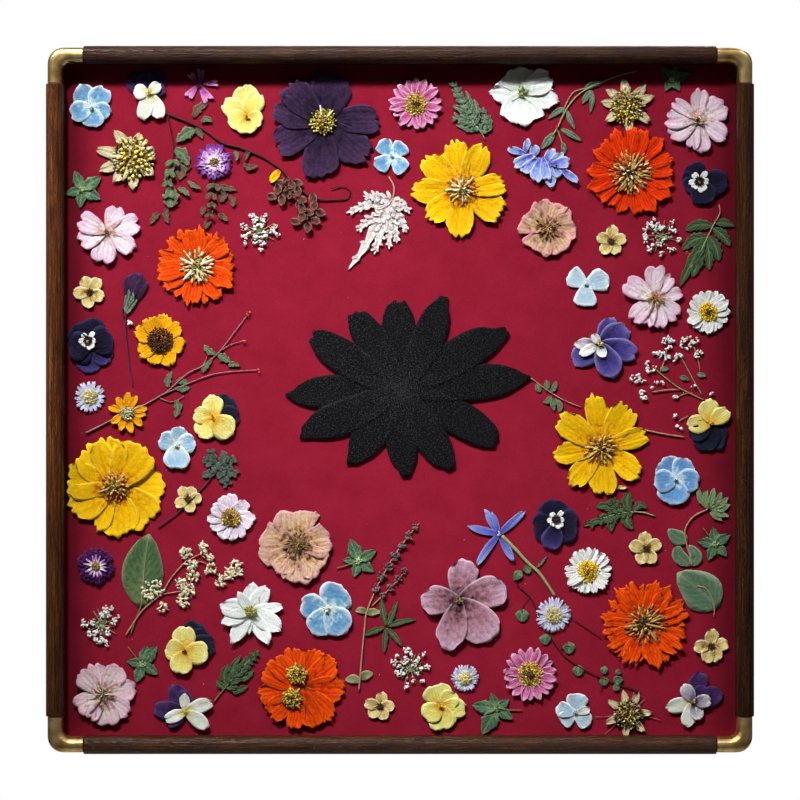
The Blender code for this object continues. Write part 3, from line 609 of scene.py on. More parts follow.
# Geometry Nodes trees; each takes geometry, a seed and a finish, besides whole and other numbers
def newTree(name, wholes, numbers):
    tree = bpy.data.node_groups.new(name, "GeometryNodeTree")
    kinds = [("Geometry", "Geometry"), ("Material", "Material"), ("Seed", "Int")]
    kinds += [(key, "Int") for key in wholes] + [(key, "Float") for key in numbers]
    tree.interface.new_socket("Geometry", in_out="OUTPUT", socket_type="NodeSocketGeometry")
    for key, kind in kinds:
        tree.interface.new_socket(key, in_out="INPUT", socket_type="NodeSocket" + kind)
    return tree, tree.nodes.new("NodeGroupInput").outputs


def vectorOf(tree, x, y, z):
    return addNode(tree, "ShaderNodeCombineXYZ", {"X": x, "Y": y, "Z": z}).outputs[0]


def addVectors(tree, first, second):
    return addNode(tree, "ShaderNodeVectorMath", {0: first, 1: second}, operation="ADD").outputs[0]


def draw(tree, low, high, seed):
    return addNode(tree, "FunctionNodeRandomValue", {2: low, 3: high, "Seed": seed},
                   data_type="FLOAT").outputs[1]


def drawVector(tree, low, high, seed):
    return addNode(tree, "FunctionNodeRandomValue", {0: low, 1: high, "Seed": seed},
                   data_type="FLOAT_VECTOR").outputs[0]


def turnBy(tree, euler):
    return addNode(tree, "FunctionNodeEulerToRotation", {0: euler}).outputs[0]


# A random tilt either way with any turn
def tumble(tree, tilt, seed):
    down = calc(tree, "MULTIPLY", tilt, -1.0)
    return turnBy(tree, drawVector(tree, vectorOf(tree, down, down, 0.0),
                                   vectorOf(tree, tilt, tilt, math.tau), seed))


# Ends a tree: realized and given its finish
def endTree(tree, given, geometry):
    real = addNode(tree, "GeometryNodeRealizeInstances", {"Geometry": geometry})
    finished = addNode(tree, "GeometryNodeSetMaterial", {
        "Geometry": real.outputs[0], "Material": given["Material"]})
    addNode(tree, "NodeGroupOutput", {0: finished.outputs[0]})
    return tree


# Copies on points, each with its own shade
def addCopies(tree, given, points, instance, rotation, scale):
    copies = addNode(tree, "GeometryNodeInstanceOnPoints", {
        "Points": points, "Instance": instance, "Rotation": rotation, "Scale": scale})
    toned = addNode(tree, "GeometryNodeStoreNamedAttribute", {
        "Geometry": copies.outputs[0], "Name": "tone", "Value": draw(tree, 0.0, 1.0, given["Seed"])},
        data_type="FLOAT", domain="INSTANCE")
    return endTree(tree, given, toned.outputs[0])


# Equal petals round a centre, each a little turned, shrunk and raised of its own
def buildPetalRing():
    tree, given = newTree("petalRing", ["Count"], ["Start", "Turn", "Wobble", "Shrink", "Step"])
    wobble, seed = given["Wobble"], given["Seed"]
    index = addNode(tree, "GeometryNodeInputIndex").outputs[0]
    place = vectorOf(tree, 0.0, 0.0, draw(tree, 0.0, given["Step"], seed))
    points = addNode(tree, "GeometryNodePoints", {"Count": given["Count"], "Position": place}).outputs[0]
    even = calc(tree, "MULTIPLY_ADD", index, given["Turn"], given["Start"])
    own = draw(tree, calc(tree, "MULTIPLY", wobble, -1.0), wobble, seed)
    rotation = turnBy(tree, vectorOf(tree, 0.0, 0.0, calc(tree, "ADD", even, own)))
    scale = draw(tree, calc(tree, "SUBTRACT", 1.0, given["Shrink"]), 1.0, seed)
    return addCopies(tree, given, points, given["Geometry"], rotation, scale)


goldenAngle = 2.39996  # radians


# Seeds in the golden spiral on a low dome, standing out like a pincushion
def buildSeedHead():
    tree, given = newTree("seedHead", ["Count"], ["Radius", "Rise", "Size", "Stretch", "Lean", "Scatter"])
    radius, up, seed = given["Radius"], given["Scatter"], given["Seed"]
    index = addNode(tree, "GeometryNodeInputIndex").outputs[0]
    share = calc(tree, "DIVIDE", calc(tree, "ADD", index, 0.5), given["Count"])
    distance = calc(tree, "MULTIPLY", calc(tree, "SQRT", share), radius)
    angle = calc(tree, "MULTIPLY", index, goldenAngle)
    x = calc(tree, "MULTIPLY", calc(tree, "COSINE", angle), distance)
    y = calc(tree, "MULTIPLY", calc(tree, "SINE", angle), distance)
    rise = calc(tree, "MULTIPLY", calc(tree, "SUBTRACT", 1.0, share), given["Rise"])
    down = calc(tree, "MULTIPLY", up, -1.0)
    loose = drawVector(tree, vectorOf(tree, down, down, down), vectorOf(tree, up, up, up), seed)
    points = addNode(tree, "GeometryNodePoints", {
        "Count": given["Count"], "Position": addVectors(tree, vectorOf(tree, x, y, rise), loose)}).outputs[0]
    outward = vectorOf(tree, x, y, calc(tree, "MULTIPLY", radius, given["Lean"]))
    spread = addNode(tree, "ShaderNodeVectorMath", {0: loose, "Scale": 6.0}, operation="SCALE").outputs[0]
    rotation = addNode(tree, "FunctionNodeAlignRotationToVector", {
        "Vector": addVectors(tree, outward, spread)}, axis="Z").outputs[0]
    grain = addNode(tree, "GeometryNodeMeshIcoSphere", {"Radius": given["Size"], "Subdivisions": 1})
    long = addNode(tree, "GeometryNodeTransform", {
        "Geometry": grain.outputs[0], "Scale": vectorOf(tree, 1.0, 1.0, given["Stretch"])}).outputs[0]
    return addCopies(tree, given, points, long, rotation, draw(tree, 0.65, 1.2, seed))


# Round stems along a path of edges; the stem's thickness is kept on its points
def buildStem():
    tree, given = newTree("stem", ["Sides"], ["Spacing"])
    curve = addNode(tree, "GeometryNodeMeshToCurve", {"Mesh": given["Geometry"]}).outputs[0]
    smooth = addNode(tree, "GeometryNodeCurveSplineType", {"Curve": curve}, spline_type="CATMULL_ROM")
    even = addNode(tree, "GeometryNodeResampleCurve", {
        "Curve": smooth.outputs[0], "Length": given["Spacing"]}, mode="LENGTH").outputs[0]
    thickness = addNode(tree, "GeometryNodeInputNamedAttribute", {"Name": "thickness"},
                        data_type="FLOAT").outputs[0]
    sized = addNode(tree, "GeometryNodeSetCurveRadius", {"Curve": even, "Radius": thickness}).outputs[0]
    ring = addNode(tree, "GeometryNodeCurvePrimitiveCircle", {"Resolution": given["Sides"], "Radius": 1.0})
    tube = addNode(tree, "GeometryNodeCurveToMesh", {
        "Curve": sized, "Profile Curve": ring.outputs[0], "Scale": thickness, "Fill Caps": True})
    return endTree(tree, given, tube.outputs[0])


# Copies of one floret on loose points, each turned, tilted and sized of its own
def buildFlorets():
    tree, given = newTree("florets", [], ["Smallest", "Largest", "Tilt", "Floret size"])
    grain = addNode(tree, "GeometryNodeMeshIcoSphere", {"Radius": given["Floret size"], "Subdivisions": 1})
    flat = addNode(tree, "GeometryNodeTransform", {"Geometry": grain.outputs[0], "Scale": (1.0, 0.62, 0.4)})
    rotation = tumble(tree, given["Tilt"], given["Seed"])
    size = draw(tree, given["Smallest"], given["Largest"], given["Seed"])
    return addCopies(tree, given, given["Geometry"], flat.outputs[0], rotation, size)


# Foil flakes strewn over a card's faces
def buildFlakes():
    tree, given = newTree("flakes", [], ["Density", "Flake size", "Tilt"])
    strewn = addNode(tree, "GeometryNodeDistributePointsOnFaces", {
        "Mesh": given["Geometry"], "Density": given["Density"], "Seed": given["Seed"]})
    flake = addNode(tree, "GeometryNodeMeshCone", {
        "Vertices": 3, "Radius Top": 0.0, "Radius Bottom": given["Flake size"], "Depth": 0.12})
    rotation = tumble(tree, given["Tilt"], given["Seed"])
    return addCopies(tree, given, strewn.outputs[0], flake.outputs[0], rotation,
                     draw(tree, 0.5, 1.3, given["Seed"]))


trees = {"petalRing": buildPetalRing(), "seedHead": buildSeedHead(), "stem": buildStem(),
         "florets": buildFlorets(), "flakes": buildFlakes()}


# A mesh of loose points, or of points and edges, for a tree to grow on
def pointMesh(points, edges=()):
    mesh = bpy.data.meshes.new("host")
    mesh.from_pydata([tuple(p) for p in points], edges, [])
    return mesh


def sheetMesh(points, corners, sizes, uv=None):
    mesh = bpy.data.meshes.new("host")
    fillMesh(mesh, points, corners, sizes, uv)
    return mesh


def readMesh(items, kind, count, dtype):
    values = np.empty(count, dtype=dtype)
    items.foreach_get(kind, values)
    return values


# Runs a tree on a host mesh and adds the plain result to a patch
def growTree(patch, treeName, host, finish, inputs, place=(0.0, 0.0), height=0.0):
    tree = trees[treeName]
    obj = bpy.data.objects.new("grown", host)
    bpy.context.scene.collection.objects.link(obj)
    modifier = obj.modifiers.new(treeName, "NODES")
    modifier.node_group = tree
    wanted = dict(inputs, Material=finishOf(finish))
    for item in tree.interface.items_tree:
        if item.item_type == "SOCKET" and item.in_out == "INPUT" and item.name in wanted:
            modifier[item.identifier] = wanted[item.name]
    graph = bpy.context.evaluated_depsgraph_get()
    mesh = bpy.data.meshes.new_from_object(obj.evaluated_get(graph))
    obj.modifiers.remove(modifier)
    bpy.data.objects.remove(obj, do_unlink=True)
    number = len(mesh.vertices)
    points = readMesh(mesh.vertices, "co", number * 3, float)
    corners = readMesh(mesh.loops, "vertex_index", len(mesh.loops), np.int32)
    sizes = readMesh(mesh.polygons, "loop_total", len(mesh.polygons), np.int32)
    uv = np.full((number, 2), 0.5)
    if "petal" in mesh.attributes and len(corners):
        cornerUv = readMesh(mesh.attributes["petal"].data, "vector", len(corners) * 2, float)
        uv[corners] = cornerUv.reshape(-1, 2)
    tone = 0.5
    if "tone" in mesh.attributes:
        tone = readMesh(mesh.attributes["tone"].data, "value", number, float)
    shift = np.array([place[0], place[1], height])
    addShape(patch, points.reshape(-1, 3) + shift, corners, sizes, finish, uv, tone)
    bpy.data.meshes.remove(mesh)
    bpy.data.meshes.remove(host)


# Rays round a place, from up to four petals of different make in turn
def addRays(patch, place, count, length, width, finish, shape, rng, height, step, wobble=3.0, shrink=0.10,
            kinds=4, **relief):
    for kind in range(min(kinds, count)):
        sheet = petalSheet(length, width, shape, rng, **relief)
        growTree(patch, "petalRing", sheetMesh(*sheet), finish, {
            "Count": math.ceil((count - kind) / kinds), "Start": math.radians(360 / count * kind),
            "Turn": math.tau / count * kinds, "Wobble": math.radians(wobble), "Shrink": shrink, "Step": step,
            "Seed": int(rng.integers(1000))}, place, height + 0.08 * kind)


# Seeds in a disc; lean: 1 stands up, 0 lies flat and outward, and flat ones are scattered more
def addSeeds(patch, place, radius, count, size, finish, rng, rise, height, stretch=1.5, lean=1.1):
    growTree(patch, "seedHead", pointMesh(np.zeros((1, 3))), finish, {
        "Count": count, "Radius": radius, "Rise": rise, "Size": size, "Stretch": stretch, "Lean": lean,
        "Scatter": 0.45 if lean < 1 else 0.15, "Seed": int(rng.integers(1000))}, place, height)


# Stems: each a path of pixels with its thickness in mm at both ends
def addStems(patch, stems, finish, rng, height=0.5, sides=6):
    points, edges, thickness = [], [], []
    for path, startThick, endThick in stems:
        first = len(points)
        for k, pixel in enumerate(path):
            x, y = spot(*pixel)
            share = k / (len(path) - 1)
            points.append((x, y, height + rng.uniform(0, 0.35)))
            thickness.append((startThick + (endThick - startThick) * share) / 2)
            if k:
                edges.append((first + k - 1, first + k))
    host = pointMesh(points, edges)
    host.attributes.new("thickness", "FLOAT", "POINT").data.foreach_set("value", thickness)
    growTree(patch, "stem", host, finish, {"Spacing": 1.5, "Sides": sides})


# Loose florets in mm round the places given, as (pixel, radius in pixels, count). floretMake: the
# smallest and largest, and their tilt.
floretMake = {"Smallest": 0.6, "Largest": 1.2, "Tilt": 0.7}


def addFlorets(patch, clusters, size, finish, rng, height=0.9, rise=0.8):
    points = []
    for pixel, radius, count in clusters:
        centre = spot(*pixel)
        for _ in range(count):
            angle = rng.uniform(0, math.tau)
            reach = radius * photo["boardPixel"] * math.sqrt(rng.uniform(0, 1))
            points.append((centre[0] + reach * math.cos(angle), centre[1] + reach * math.sin(angle),
                           height + rise * rng.uniform(0, 1)))
    growTree(patch, "florets", pointMesh(points), finish,
             {**floretMake, "Floret size": size, "Seed": int(rng.integers(1000))})


print("trees built")

# Ornament: a spray of brush strokes in black glitter card. Each stroke: direction in degrees, length
# and width in mm; flakes: number per mm2, size in mm and tilt.
ornament = {"at": (402, 391), "thick": 1.2, "flakesPerMm2": 1.5, "flake": 0.36, "tilt": 0.9, "strokes": [
    (178, 64, 19), (152, 61, 20), (121, 53, 19), (92, 52, 20), (62, 58, 19), (33, 68, 21),
    (6, 71, 20), (-24, 62, 20), (-58, 52, 19), (-92, 48, 18), (-125, 50, 19), (-155, 62, 20)]}


def makeOrnament():
    rng = np.random.default_rng(7)
    patch, fronts = newPatch(), newPatch()
    centre = spot(*ornament["at"])
    across, along = 10, 26
    front = across * along  # a sheet's front faces come first
    for direction, length, width in ornament["strokes"]:
        points, corners, sizes, uv = petalSheet(length, width, "brush", rng, lift=0, cup=0, ripple=0,
                                                thick=ornament["thick"], across=across, along=along)
        place = turned(points, direction, centre, 0.3 + ornament["thick"] + rng.uniform(0, 0.08))
        addShape(patch, place, corners, sizes, "cardBlackMatte", uv)
        addShape(fronts, place, corners[:front * 4], sizes[:front], "cardBlackMatte", uv)
    host = sheetMesh(*(np.concatenate(fronts[key]) for key in ("points", "corners", "sizes")))
    growTree(patch, "flakes", host, "flakeBlackFoil", {
        "Density": ornament["flakesPerMm2"], "Flake size": ornament["flake"], "Tilt": ornament["tilt"],
        "Seed": 4})
    makePiece("glitter_spray", patch, "black_glitter", "ornament")


makeOrnament()
print("ornament made")

# Flowers whose petals are placed one by one
# kinds: the outline of the petals and how they lie; layer: how far each lies above the last, in mm;
# wide: how much wider they are than their rows say
flowerKinds = {
    "hydrangea": {"shape": "disc", "wide": 1.08, "lift": 0.7, "cup": 0.35, "ripple": 0.12, "layer": 0.22},
    "viola": {"shape": "disc", "lift": 0.5, "cup": 0.2, "ripple": 0.22, "layer": 0.25},
    "cosmos": {"shape": "ribbed", "lift": 1.0, "cup": 0.3, "ripple": 0.3, "layer": 0.16, "across": 14,
        "along": 16},
    "cherry": {"shape": "notched", "lift": 0.9, "cup": 0.4, "ripple": 0.25, "layer": 0.22},
    "larkspur": {"shape": "toothed", "lift": 0.9, "cup": 0.4, "ripple": 0.4, "layer": 0.25},
    "larkspurNarrow": {"shape": "pointed", "lift": 0.9, "cup": 0.3, "ripple": 0.2, "layer": 0.2},
    "dried": {"shape": "pointed", "lift": 0.8, "cup": 0.2, "ripple": 0.2, "layer": 0.12},
    "coreopsis": {"shape": "ribbed", "lift": 0.8, "cup": 0.2, "ripple": 0.15, "layer": 0.2},
    "daisy": {"shape": "strap", "lift": 0.8, "cup": 0.2, "ripple": 0.12, "layer": 0.12},
    "ruffled": {"shape": "ruffled", "lift": 1.0, "cup": 0.3, "ripple": 0.4, "layer": 0.25, "along": 14},
    "mauve": {"shape": "round", "lift": 1.1, "cup": 0.5, "ripple": 0.35, "layer": 0.3, "across": 12,
        "along": 14},
}
# Petals are (direction in degrees, length mm, width mm), anticlockwise from the right, lowest first;
# a fourth value is a petal's own finish
flowers = {
    "hydrangea_blue_small": ("hydrangea", 92, 108, "hydrangeaBlue", [(124, 14.5, 12), (58, 13.5, 12),
        (-15, 11, 9.5), (-88, 11, 12), (195, 12.5, 11.5)]),
    "viola_cream": ("viola", 149, 93, "violaWhite", [(143, 15, 12, "violaPlum"), (62, 14, 13, "violaPlum"),
        (100, 12, 12, "violaPlum"), (-84, 13, 9, "violaPlum"), (15, 9.5, 8, "violaPlum"), (-101, 15.6, 9),
        (-62, 16.2, 9), (176, 8.5, 9), (35, 8, 7)]),
    "pansy_yellow": ("viola", 247, 117, "pansyYellow", [(95, 18, 16), (150, 15.5, 12), (62, 15, 12),
        (195, 11, 12), (-15, 9, 10), (-90, 9.5, 12)]),
    "cosmos_black": ("cosmos", 323, 122, "cosmosBlack", [(105, 27, 20), (75, 28, 24), (6, 32.5, 17),
        (-42, 33, 20), (-92, 32.5, 21), (208, 30.5, 19), (166, 29, 18), (136, 29.5, 18)]),
    "larkspur_white_top": ("larkspur", 522, 92, "larkspurWhite", [(105, 14, 22), (183, 18, 13),
        (-92, 19, 25), (-12, 21, 14), (28, 19.5, 15)]),
    "blossom_pink_top_right": ("cherry", 698, 120, "cherryBlossom", [(88, 18, 10), (30, 18, 16),
        (-30, 19.5, 11), (-82, 19.5, 10), (-105, 17.5, 8), (211, 19, 13), (176, 19, 12), (140, 18, 8)]),
    "chamomile_dried_left": ("dried", 133, 158, "driedSepal", [(121, 18.5, 7), (75, 14.5, 7), (168, 21, 7),
        (203, 20, 7), (-88, 18, 7), (-125, 17.5, 7), (14, 13, 9), (-40, 15, 8)]),
    "blossom_pink_left": ("cherry", 107, 232, "cherryBlossom", [(66, 16, 11), (15, 19.5, 13),
        (-32, 19, 11), (-75, 17, 6), (-100, 18.5, 14), (200, 17, 12), (158, 17.5, 13)]),
    "viola_navy_left": ("viola", 91, 346, "violaNavy", [(-96, 15.5, 15, "violaIndigo"),
        (-36, 13.8, 14, "violaIndigo"), (210, 12, 16), (110, 15, 22), (22, 13, 18), (180, 12.5, 17)]),
    "coreopsis_orange": ("coreopsis", 160, 340, "coreopsis", [(78, 15, 10), (35, 14.5, 9), (-19, 14.5, 10),
        (-64, 16, 10), (-104, 14.5, 9), (213, 14.5, 10), (162, 15, 10), (118, 14.5, 10)]),
    "viola_yellow_navy_left": ("viola", 213, 418, "violaYellow", [(42, 15.5, 16, "violaInk"),
        (5, 15, 13, "violaInk"), (90, 13, 12), (165, 11, 11), (235, 13, 13), (-38, 14.5, 15)]),
    "hydrangea_pale_left": ("hydrangea", 177, 445, "hydrangeaPale", [(160, 10.5, 11), (75, 10.5, 10),
        (8, 10.5, 11), (-92, 13.5, 14)]),
    "cosmos_yellow_left": ("cosmos", 115, 487, "cosmosYellow", [(0, 28, 24), (-42, 29, 22), (-78, 28, 22),
        (-110, 26.5, 10), (208, 28, 22), (170, 28, 22), (130, 28, 24), (98, 28.5, 22), (58, 28, 26)]),
    "daisy_pale_pink": ("daisy", 231, 517, "daisyPale", [(90, 13.5, 8), (46, 13, 8), (3, 14, 7),
        (-24, 13, 7), (-57, 13.5, 7), (-84, 13.5, 7), (-113, 13.5, 8), (212, 13, 8), (182, 13.5, 7),
        (152, 12.5, 8), (117, 13, 8)]),
    "ruffled_blossom_peach": ("ruffled", 297, 545, "ruffledPeach", [(95, 20, 26), (175, 21, 25),
        (232, 18.5, 18), (-88, 22, 18), (-45, 20, 20), (10, 19, 20)]),
    "larkspur_white_bottom": ("larkspurNarrow", 251, 611, "larkspurWhite", [(88, 16, 10), (57, 16.5, 10),
        (5, 18, 7), (-32, 20, 12), (-62, 21, 9), (-95, 13, 3), (-122, 21, 9), (203, 17.5, 9),
        (170, 17.5, 12), (127, 13, 6)]),
    "hydrangea_blue_large": ("hydrangea", 327, 609, "hydrangeaBlue", [(55, 15.5, 19), (172, 15, 14),
        (-115, 16, 15), (-48, 17, 16)]),
    "viola_yellow_navy_bottom": ("viola", 185, 651, "violaYellow", [(68, 18, 14, "violaInk"),
        (38, 17, 14, "violaInk"), (10, 17, 15, "violaInk"), (95, 14, 13.5), (172, 11, 13), (-10, 13.2, 14),
        (-108, 13, 13)]),
    "blossom_pink_bottom": ("cherry", 103, 694, "cherryBlossomOld", [(108, 18.5, 12), (58, 19, 14),
        (10, 19.5, 13), (-35, 19, 12), (-80, 19, 14), (-115, 16.5, 9), (207, 17.5, 13), (140, 18.5, 12)]),
    "viola_purple_left": ("viola", 186, 711, "violaPlum", [(118, 16.5, 11), (95, 12, 9), (178, 18, 11),
        (218, 13, 9), (98, 10, 6, "violaWhite"), (205, 12.5, 7.5, "violaWhite"),
        (22, 15.5, 8.5, "violaWhite"), (-35, 15.5, 8.5, "violaWhite")]),
    "cosmos_orange_bottom": ("cosmos", 301, 688, "cosmosOrange", [(103, 24, 12), (68, 24, 14),
        (36, 25, 15), (-3, 25, 16), (-42, 25, 14), (-71, 23.5, 14), (-98, 24, 10), (220, 24, 14),
        (190, 24.5, 14), (157, 24, 14), (133, 23.5, 13)]),
    "viola_yellow_bottom": ("viola", 441, 706, "pansyYellow", [(105, 12.5, 17), (40, 11, 12), (-7, 14, 12),
        (-83, 13.5, 16), (215, 11.5, 13)]),
    "viola_purple_right": ("viola", 693, 701, "violaPlum", [(75, 17, 11), (13, 17, 12), (42, 11, 10),
        (195, 15.5, 9, "violaWhite"), (-103, 15, 9, "violaWhite"), (-70, 11, 8, "violaMarked"),
        (118, 11, 8, "violaMarked"), (0, 10, 8, "violaMarked")]),
    "hydrangea_mauve": ("mauve", 459, 600, "mauve", [(83, 23.5, 17), (17, 28, 18.5), (-50, 29.5, 22),
        (-102, 29, 17), (178, 21.5, 17)]),
    "viola_navy_middle": ("viola", 555, 525, "violaNavy", [(95, 14.5, 17), (190, 12.5, 18), (-5, 13, 20),
        (-100, 14, 12.5, "violaIndigo")]),
    "hydrangea_sky": ("hydrangea", 676, 479, "hydrangeaSky", [(130, 13.5, 15), (55, 13, 13), (-5, 13, 13),
        (-100, 14.5, 17), (190, 12.5, 13)]),
    "cosmos_yellow_right": ("cosmos", 601, 448, "cosmosYellow", [(94, 30.5, 14), (55, 29, 17),
        (16, 27.5, 12), (-34, 27, 14), (-90, 27, 16), (-128, 27, 13), (189, 27, 13), (144, 30, 16)]),
    "viola_yellow_navy_right": ("viola", 711, 423, "violaYellow", [(-55, 12.5, 12, "violaInk"),
        (-80, 16, 14, "violaInk"), (-105, 16.5, 16, "violaInk"), (-145, 14, 12, "violaInk"),
        (185, 13.5, 11), (100, 13.5, 12), (38, 12, 10)]),
    "viola_purple_large": ("viola", 600, 344, "violaPurple", [(68, 16.5, 10), (33, 18, 14),
        (215, 18.5, 14), (180, 14.5, 7, "violaMarked"), (-15, 21.5, 13), (-68, 20.5, 15),
        (205, 13, 6, "violaFace"), (-80, 8, 6, "violaFace"), (130, 7, 5, "violaFace")]),
    "blossom_pink_right": ("cherry", 655, 298, "cherryBlossom", [(92, 19, 12), (55, 16, 9), (8, 16, 8),
        (-38, 17.5, 11), (-80, 18, 10), (-110, 17, 9), (222, 19, 11), (155, 20, 13)]),
    "ruffled_blossom_pink": ("ruffled", 548, 228, "ruffledPink", [(80, 15.5, 18), (10, 15.5, 18),
        (-55, 15.5, 18), (-120, 15.5, 18), (150, 15.5, 20)]),
    "viola_navy_top_right": ("viola", 698, 180, "violaNavy", [(112, 10, 13), (180, 9, 10), (215, 9, 10),
        (-12, 17, 16), (-72, 14.5, 15)]),
    "cosmos_yellow_top": ("cosmos", 462, 190, "cosmosYellow", [(102, 28.5, 16), (64, 28, 16),
        (140, 28, 16), (185, 28.5, 15), (220, 25.5, 14), (-92, 27, 16), (-32, 27, 17), (8, 25, 13)]),
}
# Flowers with equal rays: pixel, finish, outline, count, length mm, width mm
rayedFlowers = {
    "daisy_pink_top": (416, 104, "daisyPink", "round", 18, 15.5, 5.4),
    "cosmos_orange_left": (197, 266, "cosmosOrange", "jagged", 15, 23.8, 12.0),
    "daisy_pink_bottom": (530, 674, "daisyPink", "round", 18, 16.0, 5.4),
    "cosmos_orange_right": (645, 624, "cosmosOrange", "jagged", 19, 26.0, 11.0),
    "daisy_white_bottom": (588, 571, "daisyWhite", "strap", 18, 14.0, 5.2),
    "daisy_white_right": (708, 312, "daisyWhite", "round", 16, 13.2, 6.4),
    "cosmos_red_top": (631, 173, "cosmosRed", "scalloped", 17, 26.2, 9.6),
}
# Discs of seeds: radius mm, count, seed mm, finish, rise mm, then how stretched and how upright
tuft = (3.4, 0.3)
discs = {
    "hydrangea_blue_small": [(1.2, 8, 0.5, "beadBlue", 0.8)],
    "hydrangea_pale_left": [(1.4, 10, 0.5, "beadWhite", 0.8)],
    "hydrangea_blue_large": [(1.7, 12, 0.6, "beadWhite", 0.9)],
    "hydrangea_sky": [(1.2, 8, 0.5, "beadBlue", 0.8)],
    "hydrangea_mauve": [(1.8, 18, 0.45, "seedOlive", 0.8)],
    "cosmos_black": [(6.6, 90, 0.6, "seedOlive", 0.8), (7.6, 60, 0.5, "seedLemon", 1.6, 2.2, 0.8),
        (7.0, 26, 0.5, "beadDark", 1.9), (5.6, 30, 0.5, "seedYellow", 2.0, 2.2, 0.7)],
    "cosmos_yellow_left": [(3.6, 36, 0.7, "seedOlive", 1.0), (8.0, 30, 0.62, "seedStraw", 1.0, *tuft),
        (8.5, 46, 0.6, "beadRust", 1.0, 1.8, 0.6), (5.5, 16, 0.6, "seedYellow", 1.4, *tuft)],
    "cosmos_yellow_right": [(3.2, 30, 0.7, "seedBrown", 1.0), (8.5, 26, 0.62, "seedStraw", 1.0, *tuft),
        (6.5, 30, 0.6, "beadRust", 1.0, 1.8, 0.6), (5.5, 16, 0.6, "seedYellow", 1.4, *tuft)],
    "cosmos_yellow_top": [(3.6, 30, 0.7, "seedOlive", 1.0), (9.0, 26, 0.62, "seedStraw", 1.0, *tuft),
        (9.5, 44, 0.6, "beadOrange", 0.9, 1.8, 0.6), (6.0, 14, 0.6, "seedPale", 1.5, *tuft)],
    "cosmos_orange_left": [(3.6, 36, 0.7, "seedOlive", 1.0), (10.0, 40, 0.7, "seedStraw", 1.0, *tuft),
        (8.5, 22, 0.7, "seedCream", 1.3, *tuft), (6.0, 14, 0.6, "seedTan", 1.4, *tuft)],
    "cosmos_orange_bottom": [(5.4, 60, 0.8, "seedOlive", 1.2), (5.2, 44, 0.8, "seedYellow", 1.6),
        (3.0, 12, 0.7, "seedBrown", 1.9)],
    "cosmos_orange_right": [(4.6, 46, 0.7, "seedBrown", 1.0), (11.5, 56, 0.62, "seedTan", 1.0, *tuft),
        (9.5, 30, 0.6, "seedStraw", 1.3, *tuft), (7.0, 22, 0.6, "seedYellow", 1.4, *tuft)],
    "cosmos_red_top": [(3.6, 40, 0.7, "seedBrown", 1.0), (12.0, 60, 0.62, "seedStraw", 1.0, *tuft),
        (12.5, 44, 0.6, "seedYellow", 1.0, 2.2, 0.6), (9.5, 30, 0.6, "seedPale", 1.4, *tuft)],
    "coreopsis_orange": [(7.2, 120, 0.6, "seedBrown", 1.4), (6.0, 26, 0.45, "beadRust", 2.0)],
    "chamomile_dried_left": [(11.5, 90, 0.8, "seedBrown", 0.8),
        (12.0, 50, 0.95, "seedLemon", 1.6, 1.7, 0.8), (12.5, 40, 0.6, "seedCream", 1.6, 2.8, 0.4),
        (8.5, 22, 0.95, "seedBright", 2.2, 1.5, 0.9)],
    "daisy_pink_top": [(6.9, 70, 0.6, "seedLemon", 0.7), (5.8, 90, 0.5, "seedGold", 1.3),
        (2.8, 34, 0.5, "seedBrown", 2.0)],
    "daisy_pink_bottom": [(7.4, 80, 0.6, "seedLemon", 0.7), (6.2, 100, 0.5, "seedGold", 1.3),
        (3.0, 40, 0.5, "seedBrown", 2.0)],
    "daisy_white_bottom": [(6.2, 120, 0.55, "seedBright", 0.9), (3.4, 50, 0.5, "seedGold", 1.7)],
    "daisy_white_right": [(5.4, 90, 0.55, "seedBright", 0.9), (2.6, 34, 0.5, "seedBrown", 1.6)],
    "daisy_pale_pink": [(5.2, 90, 0.5, "seedGold", 1.1), (5.8, 36, 0.5, "seedLemon", 0.8),
        (2.2, 24, 0.5, "seedBrown", 1.7)],
    "larkspur_white_top": [(1.6, 8, 0.6, "seedGreen", 1.0), (3.2, 16, 0.5, "seedOlive", 1.0, 2.4, 0.5)],
    "larkspur_white_bottom": [(3.0, 26, 0.5, "seedLemon", 1.0), (3.2, 16, 0.5, "seedOlive", 1.2, 2.2, 0.6)],
    "blossom_pink_top_right": [(1.4, 8, 0.5, "seedBrown", 0.8), (3.2, 14, 0.4, "seedCream", 0.7, *tuft)],
    "blossom_pink_left": [(1.4, 12, 0.4, "seedBrown", 0.8)],
    "blossom_pink_right": [(4.0, 16, 0.4, "seedStraw", 0.8, *tuft), (1.2, 5, 0.45, "beadRust", 0.9)],
    "blossom_pink_bottom": [(3.2, 20, 0.5, "seedBrown", 0.9), (6.0, 16, 0.5, "seedTan", 0.7, *tuft)],
    "ruffled_blossom_peach": [(3.4, 24, 0.5, "seedTan", 0.9), (7.5, 26, 0.4, "stemBrown", 0.7, *tuft)],
    "ruffled_blossom_pink": [(3.4, 24, 0.5, "seedTan", 0.9), (7.0, 24, 0.4, "stemBrown", 0.7, *tuft)],
    "viola_cream": [(1.2, 8, 0.45, "seedLemon", 0.8)],
    "pansy_yellow": [(1.3, 8, 0.5, "seedYellow", 0.8)],
    "viola_yellow_navy_left": [(0.9, 5, 0.4, "seedYellow", 0.8)],
    "viola_yellow_navy_bottom": [(1.0, 6, 0.45, "beadDark", 0.8)],
    "viola_yellow_navy_right": [(1.0, 6, 0.45, "seedYellow", 0.8)],
    "viola_yellow_bottom": [(1.2, 8, 0.45, "seedYellow", 0.8)],
    "viola_purple_left": [(1.0, 6, 0.45, "seedLemon", 0.8)],
    "viola_purple_right": [(1.0, 6, 0.45, "seedLemon", 0.8)],
    "viola_purple_large": [(1.6, 10, 0.5, "seedLemon", 0.8)],
}
